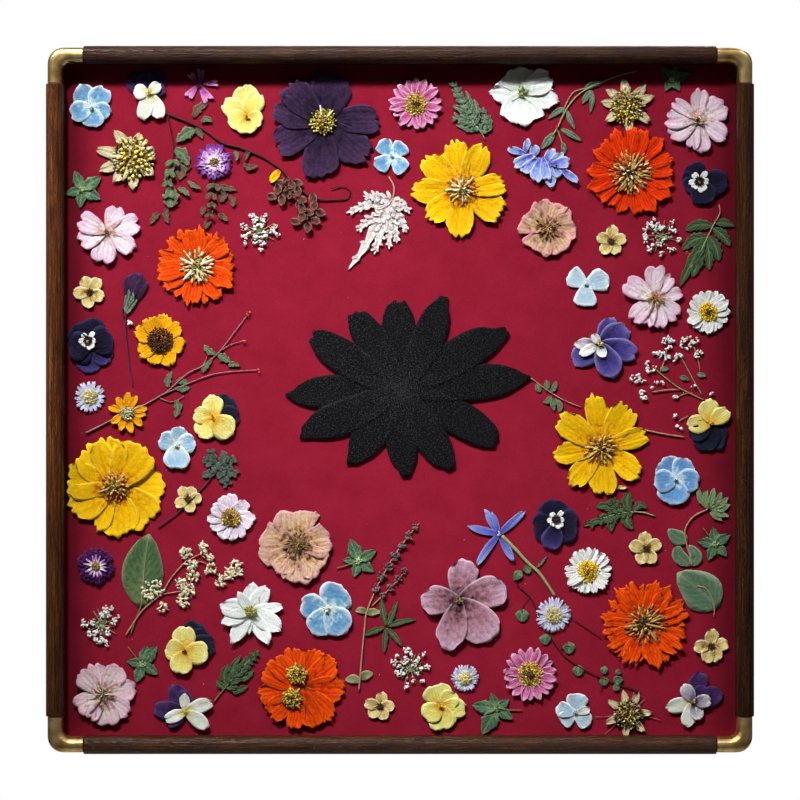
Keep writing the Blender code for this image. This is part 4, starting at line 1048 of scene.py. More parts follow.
# Whiskers: count, length mm, width mm, finish
whiskers = {
    "cosmos_black": (7, 10, 1.0, "seedCream"), "cosmos_yellow_left": (8, 10, 1.1, "seedStraw"),
    "cosmos_yellow_right": (10, 10, 1.1, "seedStraw"), "cosmos_yellow_top": (14, 10.5, 1.1, "seedPale"),
    "cosmos_orange_left": (18, 12, 1.5, "seedCream"), "cosmos_orange_bottom": (7, 8, 1.0, "seedStraw"),
    "cosmos_orange_right": (22, 13, 1.2, "seedTan"), "cosmos_red_top": (24, 13, 1.3, "seedTan"),
    "chamomile_dried_left": (15, 14.5, 2.6, "driedSepal"), "larkspur_white_top": (6, 5, 0.5, "seedGreen"),
    "larkspur_white_bottom": (8, 5, 0.5, "seedOlive"), "blossom_pink_top_right": (8, 5, 0.4, "seedTan"),
    "blossom_pink_left": (8, 4, 0.35, "seedTan"), "blossom_pink_right": (14, 7, 0.4, "seedTan"),
    "blossom_pink_bottom": (14, 7.5, 0.55, "seedCream"), "ruffled_blossom_peach": (16, 9, 0.4, "stemOlive"),
    "ruffled_blossom_pink": (14, 7, 0.4, "seedTan"),
}
# Pixels of the seed heads where a flower's middle is off centre or in two parts
offCentre = {"cosmos_orange_bottom": [(297, 674), (292, 698)]}
# Faces of the dark violas: middle in pixels, length mm of the white lobes round a black throat;
# lobes: direction, then length and width as shares of it
faces = {"viola_navy_left": (88, 340, 6.0), "viola_navy_middle": (556, 519, 6.0),
         "viola_navy_top_right": (699, 181, 7.0)}
faceLobes = [(128, 0.8, 0.55), (52, 1.0, 0.5), (190, 0.9, 0.5), (-8, 0.8, 0.55), (-125, 0.8, 0.6),
             (-65, 1.0, 0.8)]
recordSlots = {row["node"]: row["material_slot"] for row in frame["record"]["subparts"]}


def addMiddle(patch, name, centre, top, rng):
    if name in whiskers:
        count, length, width, finish = whiskers[name]
        addRays(patch, centre, count, length, width, finish, "needle", rng, height=top + 0.25, step=0.9,
                wobble=16.0, shrink=0.5, across=2, along=4, lift=0.4, cup=0, ripple=0.1, thick=0.3)
    for radius, count, size, finish, rise, *manner in discs.get(name, []):
        addSeeds(patch, centre, radius, count, size, finish, rng, rise, top + 0.1, *manner)


def addFace(patch, px, py, length, top, rng):
    for direction, share, width in faceLobes:
        addPetal(patch, spot(px, py), direction, length * share, length * width, "violaFace", "notched", rng,
                 top, lift=0.2, cup=0.1, ripple=0.05, across=6, along=6)
    addSeeds(patch, spot(px, py), 0.37 * length, 30, 0.6, "beadDark", rng, 0.3, top + 0.4)
    addSeeds(patch, spot(px, py + 1), 0.5, 3, 0.4, "seedYellow", rng, 0.2, top + 0.9)


def makeFlowers():
    for number, (name, (kindName, px, py, finish, petals)) in enumerate(flowers.items()):
        rng = np.random.default_rng(100 + number)
        kind = flowerKinds[kindName]
        relief = {key: value for key, value in kind.items() if key not in ("shape", "layer", "wide")}
        patch = newPatch()
        height = 0.35
        for direction, length, width, *own in petals:
            wide = width * kind.get("wide", 1.0)
            addPetal(patch, spot(px, py), direction, length, wide, *(own or [finish]), kind["shape"], rng,
                     height, **relief)
            height += kind["layer"]
        for middle in offCentre.get(name, [(px, py)]):
            addMiddle(patch, name, spot(*middle), height, rng)
        if name in faces:
            addFace(patch, *faces[name], height, rng)
        makePiece(name + "_pressed", patch, recordSlots[name], name)
    for number, (name, (px, py, finish, shape, count, length, width)) in enumerate(rayedFlowers.items()):
        rng = np.random.default_rng(200 + number)
        patch = newPatch()
        addRays(patch, spot(px, py), count, length, width, finish, shape, rng, height=0.4, step=0.9,
                wobble=4.0, kinds=7, lift=0.9, cup=0.25, ripple=0.3, across=10, along=14)
        addMiddle(patch, name, spot(px, py), 1.3, rng)
        makePiece(name + "_pressed", patch, recordSlots[name], name)


makeFlowers()
print("flowers made")

# Leaves, sprigs and small flowers
# Everything here is placed by photo pixels, and a path is pixel after pixel. slot: the record's
# material; stands: the node it replaces. stems: (finish, mm at both ends, paths). leaves: {(finish,
# teeth a side, cut): [(width, path)]}. pairs of leaflets: (finish, number, length, width, then a path
# or the number of the leaf above whose path they follow).
# petals: {(finish, outline): [(width, base, tips)]}. rays: (finish, outline, middle, count, length,
# width). seeds: (finish, middle, radius, count, size mm, rise mm, how stretched, how upright).
# florets: {(finish, size mm): [(middle, radius, count)]}. bristles: (finish, size mm, rise mm, how
# stretched, how upright) of fine hairs in all clusters of florets but the first.
# rustChips: small leaves across or down, each from its left or upper end
rustChips = [(8, x, y, x + 5, y + 2, x + 10, y + 3) for x, y in (
    (276, 182), (267, 195), (282, 192), (293, 181), (297, 198), (304, 211), (316, 211), (291, 220),
    (311, 219))]
rustChips += [(8, x, y, x + 1, y + 6, x, y + 11) for x, y in (
    (277, 184), (281, 195), (291, 181), (297, 186), (301, 203), (313, 200), (307, 222), (301, 211),
    (312, 193))]
specimens = {
    "oval_leaf_pressed": {"slot": "leaf_green", "stands": "oval_leaf",
        "stems": [("stemOlive", 0.9, 0.6, (131, 634, 136, 619, 141, 606)),
            ("stemSage", 0.6, 0.25, (141, 606, 143, 585, 145, 562, 149, 537))],
        "leaves": {("leafOval", 0, 0): [(41, 141, 607, 142, 585, 144, 560, 149, 534)]}},
    "divided_leaf_silver_pressed": {"slot": "petals_white", "stands": "divided_leaf_silver",
        "stems": [("stemPink", 0.8, 0.8, (389, 177, 394, 187, 393, 198)),
            ("stemPink", 0.8, 0.4, (393, 198, 384, 212, 372, 232, 360, 252))],
        "leaves": {("leafSilver", 4, 0.5): [(9, 391, 200, 378, 197, 363, 196),
            (10, 388, 204, 368, 205, 346, 213), (10, 382, 214, 370, 220, 356, 231),
            (9, 389, 206, 394, 226, 397, 244), (9, 391, 203, 400, 217, 407, 233),
            (9, 393, 200, 402, 204, 410, 214)],
            ("leafSilver", 5, 0.5): [(11, 387, 206, 377, 224, 364, 248, 348, 270),
            (10, 384, 212, 380, 234, 374, 255), (9, 387, 208, 389, 230, 389, 250)]},
        "pairs": [("leafSilver", 5, 9, 4, 0), ("leafSilver", 5, 9, 4, 1), ("leafSilver", 5, 9, 4, 2),
            ("leafSilver", 5, 9, 4, 3), ("leafSilver", 5, 9, 4, 4), ("leafSilver", 4, 8, 4, 5),
            ("leafSilver", 7, 10, 4, 387, 206, 377, 224, 348, 270), ("leafSilver", 6, 9, 4, 7),
            ("leafSilver", 5, 8, 4, 8)]},
    "divided_leaf_top_right_pressed": {"slot": "leaf_green", "stands": "divided_leaf_top_right",
        "stems": [("stemTan", 0.6, 0.9, (719, 205, 720, 213, 715, 222)),
            ("stemSage", 0.9, 0.5, (715, 222, 708, 236, 701, 250, 690, 268))],
        "leaves": {("leafDeep", 5, 0.35): [(13, 713, 226, 699, 225, 685, 230),
            (14, 708, 237, 694, 240, 682, 250), (13, 707, 240, 709, 255, 709, 270),
            (13, 709, 236, 716, 248, 719, 261), (13, 713, 228, 723, 236, 730, 246),
            (10, 715, 223, 725, 223, 734, 226)], ("leafDeep", 4, 0.4): [(14, 706, 240, 694, 258, 679, 287),
            (13, 703, 246, 698, 262, 692, 277)]},
        "florets": {("beadRust", 0.9): [(688, 254, 4, 6)]}},
    "divided_leaf_right_pressed": {"slot": "leaf_green", "stands": "divided_leaf_right",
        "stems": [("stemSage", 0.8, 0.5, (655, 516, 640, 512, 622, 513, 603, 518))],
        "leaves": {("leafDeep", 5, 0.4): [(12, 632, 511, 612, 516, 583, 526)],
            ("leafDeep", 3, 0.4): [(14, 628, 511, 627, 499, 629, 492), (13, 622, 512, 613, 504, 609, 500),
            (12, 616, 513, 606, 506, 596, 507), (12, 616, 514, 611, 522, 611, 532),
            (13, 628, 513, 627, 522, 633, 529), (9, 633, 511, 640, 505, 647, 508)]},
        "pairs": [("leafDeep", 6, 9, 5, 0), ("leafDeep", 4, 8, 4, 2)]},
    "fern_leaf_top": {"slot": "leaf_green",
        "stems": [("stemSage", 0.7, 0.5, (485, 140, 482, 134, 476, 126)),
            ("leafFern", 0.6, 0.3, (476, 126, 465, 108, 452, 82))],
        "leaves": {("leafFern", 6, 0.4): [(9, 479, 130, 466, 106, 452, 81)],
            ("leafFern", 4, 0.45): [(9, 481, 133, 485, 122, 483, 107), (9, 476, 125, 477, 112, 474, 99),
            (8, 470, 114, 470, 103, 466, 91), (9, 479, 131, 468, 128, 456, 125),
            (9, 474, 123, 463, 119, 452, 117)], ("leafFern", 3, 0.45): [(9, 482, 134, 489, 126, 489, 116),
            (8, 470, 115, 460, 109, 452, 106), (7, 464, 103, 458, 97, 453, 93)]},
        "pairs": [("leafFern", 9, 10, 4, 0), ("leafFern", 5, 8, 4, 1), ("leafFern", 4, 8, 4, 5)]},
    "toothed_leaf_bottom": {"slot": "leaf_green",
        "stems": [("stemOlive", 0.9, 0.6, (214, 702, 219, 695, 226, 687)),
            ("stemSage", 0.6, 0.3, (226, 687, 240, 670, 257, 651))],
        "leaves": {("leafDeep", 6, 0.4): [(14, 226, 688, 241, 670, 259, 650)],
            ("leafDeep", 3, 0.4): [(10, 228, 686, 224, 675, 228, 664), (9, 234, 678, 233, 667, 241, 655),
            (10, 228, 687, 238, 690, 248, 686), (9, 236, 677, 246, 677, 254, 670)],
            ("leafDeep", 2, 0.4): [(8, 225, 688, 220, 685, 217, 680)]},
        "pairs": [("leafDeep", 9, 10, 4, 0)]},
    "lobed_leaf_slate": {"slot": "leaf_green",
        "stems": [("stemPurple", 0.8, 0.7, (216, 471, 208, 482, 200, 491, 181, 510, 158, 527))],
        "leaves": {("leafSlate", 3, 0.5): [(12, 218, 471, 210, 462, 202, 460),
            (12, 218, 470, 211, 455, 212, 450), (12, 219, 469, 224, 458, 222, 450),
            (12, 219, 470, 230, 461, 236, 458), (12, 219, 471, 231, 472, 237, 475),
            (12, 219, 472, 225, 481, 228, 485), (11, 217, 472, 208, 474, 202, 476)]},
        "pairs": [("leafSlate", 3, 8, 5, 1), ("leafSlate", 3, 8, 5, 3), ("leafSlate", 3, 8, 5, 0),
            ("leafSlate", 3, 8, 5, 4), ("leafSlate", 3, 8, 5, 5)]},
    "palmate_leaf": {"slot": "leaf_green",
        "leaves": {("leafDeep", 3, 0.3): [(7, 386, 626, 383, 612, 381, 598),
            (7, 387, 626, 393, 613, 397, 601), (7, 387, 626, 401, 622, 416, 619),
            (7, 387, 628, 395, 637, 402, 646), (7, 386, 628, 385, 640, 384, 653),
            (7, 384, 627, 374, 631, 363, 635)]}},
    "violet_flower_top": {"slot": "petals_pink",
        "petals": {("cherryPink", "wedge"): [(9, 197, 86, 188, 98), (11, 200, 86, 209, 102),
            (6, 203, 84, 218, 83), (7, 200, 84, 202, 69), (7, 197, 83, 190, 73)]},
        "seeds": [("beadDark", 199, 85, 2, 8, 0.4, 0.5)]},
    "periwinkle_cluster": {"slot": "petals_blue",
        "stems": [("stemSage", 0.7, 0.5, (557, 129, 560, 137, 563, 146))],
        "leaves": {("leafFern", 2, 0.2): [(9, 554, 133, 549, 140, 541, 149),
            (6, 562, 142, 564, 149, 562, 156)]},
        "petals": {("periwinkle", "round"): [(7, 524, 153, 529, 139), (8, 526, 154, 508, 148),
            (10, 532, 158, 536, 145), (12, 547, 160, 552, 188), (10, 551, 165, 560, 177),
            (10, 544, 163, 554, 149), (10, 547, 167, 563, 153)],
            ("periwinkle", "notched"): [(11, 536, 154, 513, 166), (11, 537, 158, 522, 173),
            (13, 540, 158, 534, 182), (11, 543, 157, 546, 181), (12, 550, 164, 570, 163)],
            ("periwinkle", "pointed"): [(8, 562, 170, 578, 182)]},
        "seeds": [("beadWhite", 534, 158, 2, 6, 0.35, 0.4), ("beadDark", 556, 166, 1.2, 4, 0.3, 0.3)]},
    "narrow_leaved_sprig": {"slot": "leaf_green",
        "stems": [("stemSage", 0.7, 1, (637, 71, 618, 76, 600, 83, 587, 89, 576, 97, 568, 107, 562, 118,
            557, 129, 552, 136)), ("leafFern", 0.5, 0.5, (588, 88, 574, 92, 566, 104, 563, 114))],
        "leaves": {("leafFern", 0, 0): [(6, 565, 108, 557, 112, 548, 119),
            (5, 567, 110, 570, 120, 575, 130), (6, 592, 90, 587, 96, 582, 104),
            (5, 592, 91, 592, 102, 590, 113), (6, 603, 82, 592, 85, 583, 90),
            (6, 561, 129, 570, 134, 582, 141)]},
        "seeds": [("beadRust", 557, 127, 1.5, 5, 0.4, 0.5)]},
    "dried_star_top": {"slot": "petals_tan",
        "petals": {("driedSepal", "pointed"): [(10, 628, 106, 601.1, 104.1, 607.6, 88.3, 624.7, 79.2, 645,
            85, 653.5, 97.2, 649.8, 121.9, 629.4, 133, 606.4, 122.2)]},
        "seeds": [("seedBrown", 627, 107, 16, 70, 0.7, 0.8),
            ("seedLemon", 627, 107, 17, 64, 0.6, 1.6, 2, 0.7),
            ("seedCream", 627, 105, 18, 44, 0.5, 1.6, 2.8, 0.4),
            ("seedBright", 625, 111, 12, 24, 0.6, 2, 1.8, 0.8)]},
    "dried_star_bottom": {"slot": "petals_tan",
        "stems": [("stemTan", 0.35, 0.2, (628, 714, 612, 716, 595, 717), (628, 714, 616, 724, 605, 734),
            (628, 714, 645, 716, 661, 720), (628, 714, 637, 724, 644, 733), (628, 714, 637, 706, 645, 699),
            (628, 714, 631, 703, 634, 692))],
        "petals": {("driedSepal", "pointed"): [(8, 628, 714, 608.1, 700.6, 651.9, 712.3, 638.1, 692.2,
            623.8, 690.4, 605.4, 722.2, 643.4, 732.4, 623.8, 737.6)]},
        "seeds": [("seedBrown", 628, 714, 14, 70, 0.7, 0.8),
            ("seedOlive", 628, 714, 15, 56, 0.6, 1.6, 2, 0.7),
            ("seedCream", 628, 714, 15, 24, 0.5, 1.6, 2.8, 0.4),
            ("seedYellow", 628, 714, 10, 24, 0.6, 2, 1.8, 0.8)]},
    "everlasting_violet": {"slot": "petals_pink",
        "rays": [("everlasting", "pointed", 214, 162, 22, 19.5, 6),
            ("everlastingInner", "pointed", 214, 162, 18, 15, 4.5),
            ("everlastingInner", "pointed", 214, 162, 12, 11, 4)],
        "seeds": [("seedTan", 214, 162, 4.5, 40, 0.45, 0.8)]},
    "everlasting_magenta": {"slot": "petals_pink",
        "rays": [("everlastingDark", "strap", 96, 566, 22, 20, 6.5),
            ("everlastingDark", "strap", 96, 566, 16, 16, 5.5),
            ("everlastingInner", "needle", 96, 566, 15, 12.5, 2.2)],
        "seeds": [("seedGold", 96, 566, 4, 36, 0.45, 0.8)]},
    "branch_red": {"slot": "leaf_green",
        "stems": [("stemRed", 1, 0.9, (167, 114, 182, 120, 202, 129, 222, 143, 240, 148, 260, 156, 270,
            162, 281, 170, 291, 181, 301, 190, 311, 198)),
            ("stemRed", 0.8, 0.5, (311, 198, 323, 200, 335, 200, 347, 198, 350, 191, 342, 186, 331, 189)),
            ("stemRed", 0.7, 0.5, (168, 115, 171, 131, 174, 149, 172, 165, 168, 186, 170, 205)),
            ("stemRed", 0.5, 0.4, (214, 180, 212, 196, 211, 210, 207, 224),
            (286, 178, 291, 195, 303, 210, 306, 226))],
        "leaves": {("leafBrown", 3, 0.45): [(11, 193, 118, 199, 108, 208, 103),
            (9, 194, 129, 199, 132, 203, 139), (16, 187, 155, 183, 168, 179, 180),
            (8, 167, 208, 166, 216, 169, 224), (8, 160, 213, 155, 217, 150, 224),
            (8, 217, 187, 212, 189, 207, 193), (8, 218, 186, 226, 188, 237, 190),
            (10, 222, 190, 223, 197, 220, 202), (8, 229, 196, 233, 201, 233, 207),
            (7, 211, 200, 210, 206, 213, 213), (7, 205, 207, 203, 211, 202, 216),
            (7, 218, 214, 223, 217, 228, 221), (8, 211, 221, 207, 224, 205, 229),
            (6, 250, 151, 247, 155, 245, 161), (7, 243, 164, 250, 168, 258, 165)],
            ("leafOlive", 3, 0.4): [(7, 201, 122, 207, 119, 212, 122), (14, 195, 130, 186, 134, 176, 142),
            (14, 175, 149, 183, 155, 189, 166), (11, 174, 164, 169, 175, 167, 187),
            (6, 188, 181, 194, 186, 201, 188), (7, 178, 188, 184, 191, 190, 196),
            (20, 171, 187, 171, 198, 170, 208), (6, 234, 152, 237, 155, 236, 161)],
            ("clusterRust", 0, 0): rustChips},
        "pairs": [("leafBrown", 4, 9, 5, 216, 184, 212, 196, 211, 210, 207, 224),
            ("leafOlive", 4, 9, 5, 174, 160, 170, 176, 168, 190, 171, 212),
            ("clusterRust", 6, 6, 4, 286, 178, 291, 195, 303, 210, 306, 226)]},
    "petal_fallen_flame": {"slot": "petals_yellow",
        "petals": {("cosmosYellow", "pointed"): [(8, 280, 170, 270, 182)]}},
    "bud_dark": {"slot": "petals_dark",
        "stems": [("stemPurple", 0.8, 0.7, (129, 303, 126, 315, 126, 335, 128, 352, 130, 370, 133, 386),
            (125, 318, 122, 312, 127, 300))],
        "petals": {("budPlum", "disc"): [(22, 132, 304, 138, 273), (15, 130, 303, 132, 275),
            (12, 134, 303, 144, 279)], ("leafFern", "pointed"): [(6, 126, 314, 128, 290),
            (7, 126, 314, 133, 293), (5, 126, 314, 136, 299)]},
        "florets": {("beadWhite", 1.6): [(130, 323, 3, 6)]}},
    "forked_sprig_left": {"slot": "leaf_green",
        "stems": [("stemMauve", 1, 0.8, (86, 433, 112, 420, 144, 405, 160, 396)),
            ("stemMauve", 0.8, 0.5, (160, 396, 168, 391, 187, 374, 204, 365, 219, 352, 234, 333, 248,
            314)), ("stemMauve", 0.7, 0.4, (160, 396, 180, 387, 207, 376, 227, 372, 258, 370)),
            ("stemMauve", 0.5, 0.4, (160, 398, 172, 402, 184, 396)),
            ("stemMauve", 0.5, 0.3, (219, 352, 230, 345, 243, 341), (204, 365, 207, 357, 211, 350))],
        "leaves": {("leafOlive", 3, 0.5): [(8, 168, 388, 168, 380, 172, 371),
            (9, 176, 382, 182, 381, 188, 384), (8, 175, 388, 184, 389, 190, 387),
            (10, 176, 400, 178, 408, 175, 418), (9, 216, 354, 209, 351, 204, 345),
            (10, 218, 354, 224, 358, 231, 362), (8, 212, 360, 205, 367, 203, 373),
            (7, 228, 366, 234, 364, 240, 366)]},
        "florets": {("beadRust", 0.8): [(248, 313, 3, 6), (245, 341, 2, 3), (258, 371, 2, 3)]}},
    "lavender_sprig": {"slot": "petals_tan",
        "stems": [("stemTan", 1, 0.9, (359, 691, 362, 655, 365, 625, 367, 611, 378, 585)),
            ("stemTan", 0.9, 0.5, (378, 585, 391, 561, 404, 542, 419, 523)),
            ("stemTan", 0.6, 0.4, (372, 606, 384, 594, 396, 582, 405, 571))],
        "leaves": {("leafPale", 0, 0): [(7, 367, 612, 361, 610, 355, 611),
            (8, 366, 613, 373, 612, 381, 612), (9, 361, 681, 353, 679, 345, 680),
            (10, 360, 679, 366, 675, 373, 673)]},
        "florets": {("lavenderFloret", 1.2): [(376, 588, 4, 14), (382, 577, 4.5, 18), (388, 567, 4.5, 18),
            (395, 556, 4.5, 18), (402, 546, 4.5, 18), (409, 536, 4, 16), (415, 527, 3, 12),
            (383, 595, 3, 10), (391, 587, 3.5, 12), (398, 579, 3.5, 12), (404, 571, 3, 10)]}},
    "cream_sprig": {"slot": "petals_white",
        "stems": [("stemTan", 0.9, 0.7, (126, 635, 142, 611, 161, 594, 172, 577, 186, 561)),
            ("stemTan", 0.6, 0.4, (163, 594, 176, 592, 189, 590), (186, 561, 204, 552, 210, 548),
            (186, 561, 205, 563, 222, 578, 234, 574)),
            ("stemTan", 0.5, 0.4, (150, 603, 151, 594, 153, 588))],
        "florets": {("creamFloret", 1.2): [(153, 590, 11, 60), (163, 607, 5, 14), (186, 553, 6, 22),
            (192, 566, 6, 22), (193, 576, 6, 20), (182, 584, 6, 20), (189, 590, 7, 26), (184, 600, 7, 24),
            (203, 548, 5, 16), (208, 557, 5, 14), (210, 569, 6, 18), (221, 581, 6, 18), (229, 574, 6, 18),
            (235, 565, 6, 18), (239, 572, 4, 10)]},
        "bristles": ("seedCream", 0.42, 1.3, 4.2, 0.3)},
    "blue_star": {"slot": "petals_blue",
        "stems": [("stemSage", 2.2, 1.6, (502, 536, 515, 549, 529, 564, 540, 574, 555, 596))],
        "leaves": {("leafFern", 0, 0): [(2.5, 536, 568, 542, 562, 547, 556)]},
        "petals": {("blueStar", "pointed"): [(8, 499, 534, 484, 510, 525, 512, 468, 528, 475, 563, 514,
            561), (6, 499, 534, 493, 512)]},
        "seeds": [("beadWhite", 499, 534, 2, 8, 0.35, 0.6)]},
    "vine": {"slot": "leaf_green",
        "stems": [("stemRed", 0.7, 0.6, (529, 569, 519, 574, 517, 584, 529, 596, 535, 607, 542, 622, 550,
            636, 559, 650, 568, 659, 587, 671, 612, 682, 640, 691)),
            ("stemRed", 0.5, 0.4, (573, 619, 588, 629, 601, 638)),
            ("stemRed", 0.4, 0.4, (559, 650, 566, 646, 570, 646)),
            ("stemRed", 0.4, 0.3, (600, 677, 602, 686, 600, 692), (529, 596, 523, 606, 522, 614))],
        "leaves": {("leafGreen", 0, 0): [(13, 522, 609, 522, 616, 521, 622),
            (11, 545, 634, 545, 639, 544, 645), (12, 568, 642, 569, 648, 568, 654),
            (11, 578, 665, 578, 671, 577, 676), (8, 604, 666, 604, 670, 603, 674),
            (6, 616, 670, 618, 672, 621, 673), (9, 604, 677, 604, 681, 604, 686),
            (8, 613, 686, 616, 687, 620, 688), (9, 614, 682, 618, 680, 623, 679),
            (9, 521, 571, 518, 575, 514, 580), (7, 530, 573, 527, 569, 525, 565)]}},
    "right_sprig": {"slot": "leaf_green",
        "stems": [("stemTan", 0.9, 0.8, (708, 509, 693, 517, 685, 530, 687, 546, 690, 556, 692, 566)),
            ("stemTan", 0.8, 0.6, (697, 586, 705, 588, 711, 596, 714, 605, 714, 617))],
        "leaves": {("leafBlue", 0, 0): [(40, 718, 608, 700, 590, 677, 573),
            (15, 688, 541, 677, 537, 668, 529), (15, 691, 565, 679, 556, 678, 545),
            (13, 691, 566, 696, 556, 689, 545)], ("leafLight", 3, 0.3): [(7, 708, 509, 700, 498, 698, 487),
            (7, 708, 509, 705, 497, 707, 490), (8, 709, 509, 712, 497, 714, 488),
            (8, 710, 509, 718, 500, 721, 492), (8, 711, 510, 721, 504, 728, 497),
            (7, 711, 510, 722, 509, 730, 504), (7, 711, 511, 720, 514, 729, 516),
            (6, 710, 512, 716, 517, 722, 520)]},
        "florets": {("stemOlive", 0.8): [(713, 506, 6, 6)]}},
    "lace_sprig": {"slot": "petals_white",
        "stems": [("stemSage", 0.7, 0.6, (655, 369, 668, 380, 681, 389, 704, 400)),
            ("stemSage", 0.6, 0.5, (681, 357, 691, 376, 702, 395), (652, 392, 666, 390, 680, 389)),
            ("stemSage", 0.5, 0.4, (694, 347, 698, 360, 700, 372), (679, 421, 684, 418, 688, 416)),
            ("stemTan", 0.9, 0.7, (645, 430, 664, 434, 684, 437)),
            ("stemSage", 0.6, 0.5, (667, 348, 664, 362, 660, 372)),
            ("stemSage", 0.5, 0.4, (676, 398, 684, 394, 692, 393))],
        "leaves": {("leafFern", 0, 0): [(5, 660, 368, 664, 369, 669, 369),
            (5, 697, 374, 701, 375, 706, 376), (5, 680, 377, 684, 378, 689, 380)]},
        "florets": {("umbelWhite", 1.15): [(667, 344, 7, 22), (687, 343, 7, 22), (666, 355, 5, 14),
            (677, 357, 5, 14), (657, 355, 5, 14), (650, 367, 6, 18), (635, 379, 6, 18), (642, 379, 4, 9),
            (643, 395, 5, 13), (695, 341, 4, 9), (697, 353, 5, 13), (656, 381, 2, 3), (652, 386, 2, 3),
            (663, 383, 2, 3), (693, 386, 2, 3), (676, 397, 2.5, 5), (711, 393, 2, 3), (675, 417, 3, 6),
            (679, 428, 3, 6)]}},
    "twig_green_small": {"slot": "leaf_green",
        "stems": [("stemTan", 0.6, 0.5, (531, 378, 544, 388, 558, 397, 570, 403, 581, 407))],
        "leaves": {("leafOlive", 0, 0): [(6, 541, 392, 538, 388, 537, 382),
            (6, 549, 392, 554, 388, 556, 381), (6, 551, 396, 548, 401, 543, 402),
            (6, 555, 398, 553, 404, 554, 411), (6, 546, 391, 547, 385, 546, 380),
            (6, 556, 399, 560, 406, 559, 412)]}},
    "hydrangea_blue_top": {"slot": "petals_blue",
        "petals": {("hydrangeaBlue", "broad"): [(18, 392, 156, 380, 141, 405, 144),
            (18, 391, 157, 376, 168), (18, 392, 157, 406, 171)]},
        "seeds": [("beadBlue", 392, 156, 1.8, 8, 0.4, 0.5)]},
    "hydrangea_pale_right": {"slot": "petals_blue",
        "petals": {("hydrangeaFaint", "broad"): [(21, 586, 285, 568, 274), (24, 586, 285, 608, 277),
            (23, 586, 285, 584, 307)]},
        "seeds": [("beadBlue", 586, 284, 2.2, 10, 0.45, 0.6)]},
    "hydrangea_pale_bottom": {"slot": "petals_blue",
        "petals": {("hydrangeaFaint", "broad"): [(22, 575, 713, 578, 693),
            (18, 575, 713, 561, 723, 590, 724), (17, 575, 713, 556, 708)],
            ("daisyWhite", "round"): [(9, 576, 713, 590, 709)]},
        "seeds": [("beadBlue", 575, 712, 2, 8, 0.45, 0.5)]},
    "coreopsis_small": {"slot": "petals_yellow",
        "petals": {("coreopsis", "round"): [(7.5, 127, 412, 127, 392, 137.1, 395.9, 147.5, 407.6, 145.7,
            415.3, 143.1, 425.5, 130.8, 433.7, 120.2, 430.8, 111.6, 423.2, 108.7, 406.8, 116.9, 397.1)]},
        "seeds": [("seedPale", 127, 413, 7, 36, 0.6, 0.9),
            ("seedGreen", 127, 413, 6, 18, 0.5, 1.2, 2.2, 0.5)]},
    "petal_fallen_pale": {"slot": "petals_yellow",
        "petals": {("creamBlossom", "round"): [(4, 613, 487, 627, 488)]}},
}

# Small cream blossoms of five petals: middle, petal length, directions; all in pixels
creamBlossoms = [((89.5, 292), 16, (113, 49, -23, -98, 188)), ((188, 499), 14, (123, 63, 8, -75, 205)),
                 ((380, 706), 14.5, (80, 0, -70, -130, 165)), ((711, 646), 17, (87, 7, -60, -110, 180)),
                 ((646, 548), 16.5, (97, 18, -66, -118, 172)), ((611, 241), 15, (85, 10, -62, -125, 160))]
# White umbels: middle, radius, florets
umbels = [((259, 232), 20, 150), ((661, 236), 19, 120), ((102, 625), 20, 150), ((410, 668), 20, 150)]
# Green leaves of five lobes: middle, tips, and the rest of the stem from the middle
fiveLobed = [
    ((82, 190), [(75, 171), (101, 177), (101, 199), (80, 208), (65, 194)], []),
    ((672, 79), [(665, 91), (680, 91), (660, 67), (690, 74), (676, 66)], []),
    ((359, 561), [(350, 539), (376, 550), (374, 572), (354, 577), (343, 560)], [(348, 565), (337, 568)]),
    ((143, 664), [(157, 646), (147, 645), (127, 661), (136, 682), (158, 674)], [(135, 656), (128, 647)]),
    ((497, 709), [(472, 705), (482, 734), (513, 719), (491, 693), (509, 699)], [(510, 710), (522, 710)]),
    ((715, 544), [(713, 527), (730, 534), (727, 556), (708, 560), (697, 541)], [(709, 536), (703, 528)])]
# Tiny daisies of many thin rays: middle, radius, rays
tinyDaisies = [((90, 397), 16.5, 32), ((553.5, 615), 18.5, 34), ((465, 678), 14.5, 28)]
# Widths are shares of the length; umbels have stalks of two thicknesses in mm, green florets over a
# share of the radius, and clusters of white ones. Seeds are radius in pixels, or as a share of a
# daisy's, count, size mm, finish and rise mm.
smallKinds = {"creamWidth": 0.82, "creamSeeds": (3.4, 22, 0.4, "seedBrown", 0.6),
              "stalks": 14, "stalkThick": (0.5, 0.35), "greenShare": 0.55, "greenCount": 24,
              "clusters": 30, "clusterRadius": 2.2, "greenSize": 1.0, "whiteSize": 0.95,
              "lobeWidth": 0.62, "lobeTeeth": 4, "lobeCut": 0.22, "lobeStem": 0.6,
              "lobeSeeds": (2.8, 24, 0.5, "seedGreen", 0.3), "rayWidth": 3.0,
              "daisySeeds": [(0.50, 110, 0.5, "seedPale", 1.0), (0.40, 30, 0.5, "seedLemon", 1.0)]}
specks = {"count": 46, "seed": 12, "size": 0.28, "across": (80, 720), "down": (95, 720)}


def pairs(row):
    return [(row[k], row[k + 1]) for k in range(0, len(row), 2)]


def around(middle, angle, reach):
    return middle[0] + reach * math.cos(angle), middle[1] + reach * math.sin(angle)


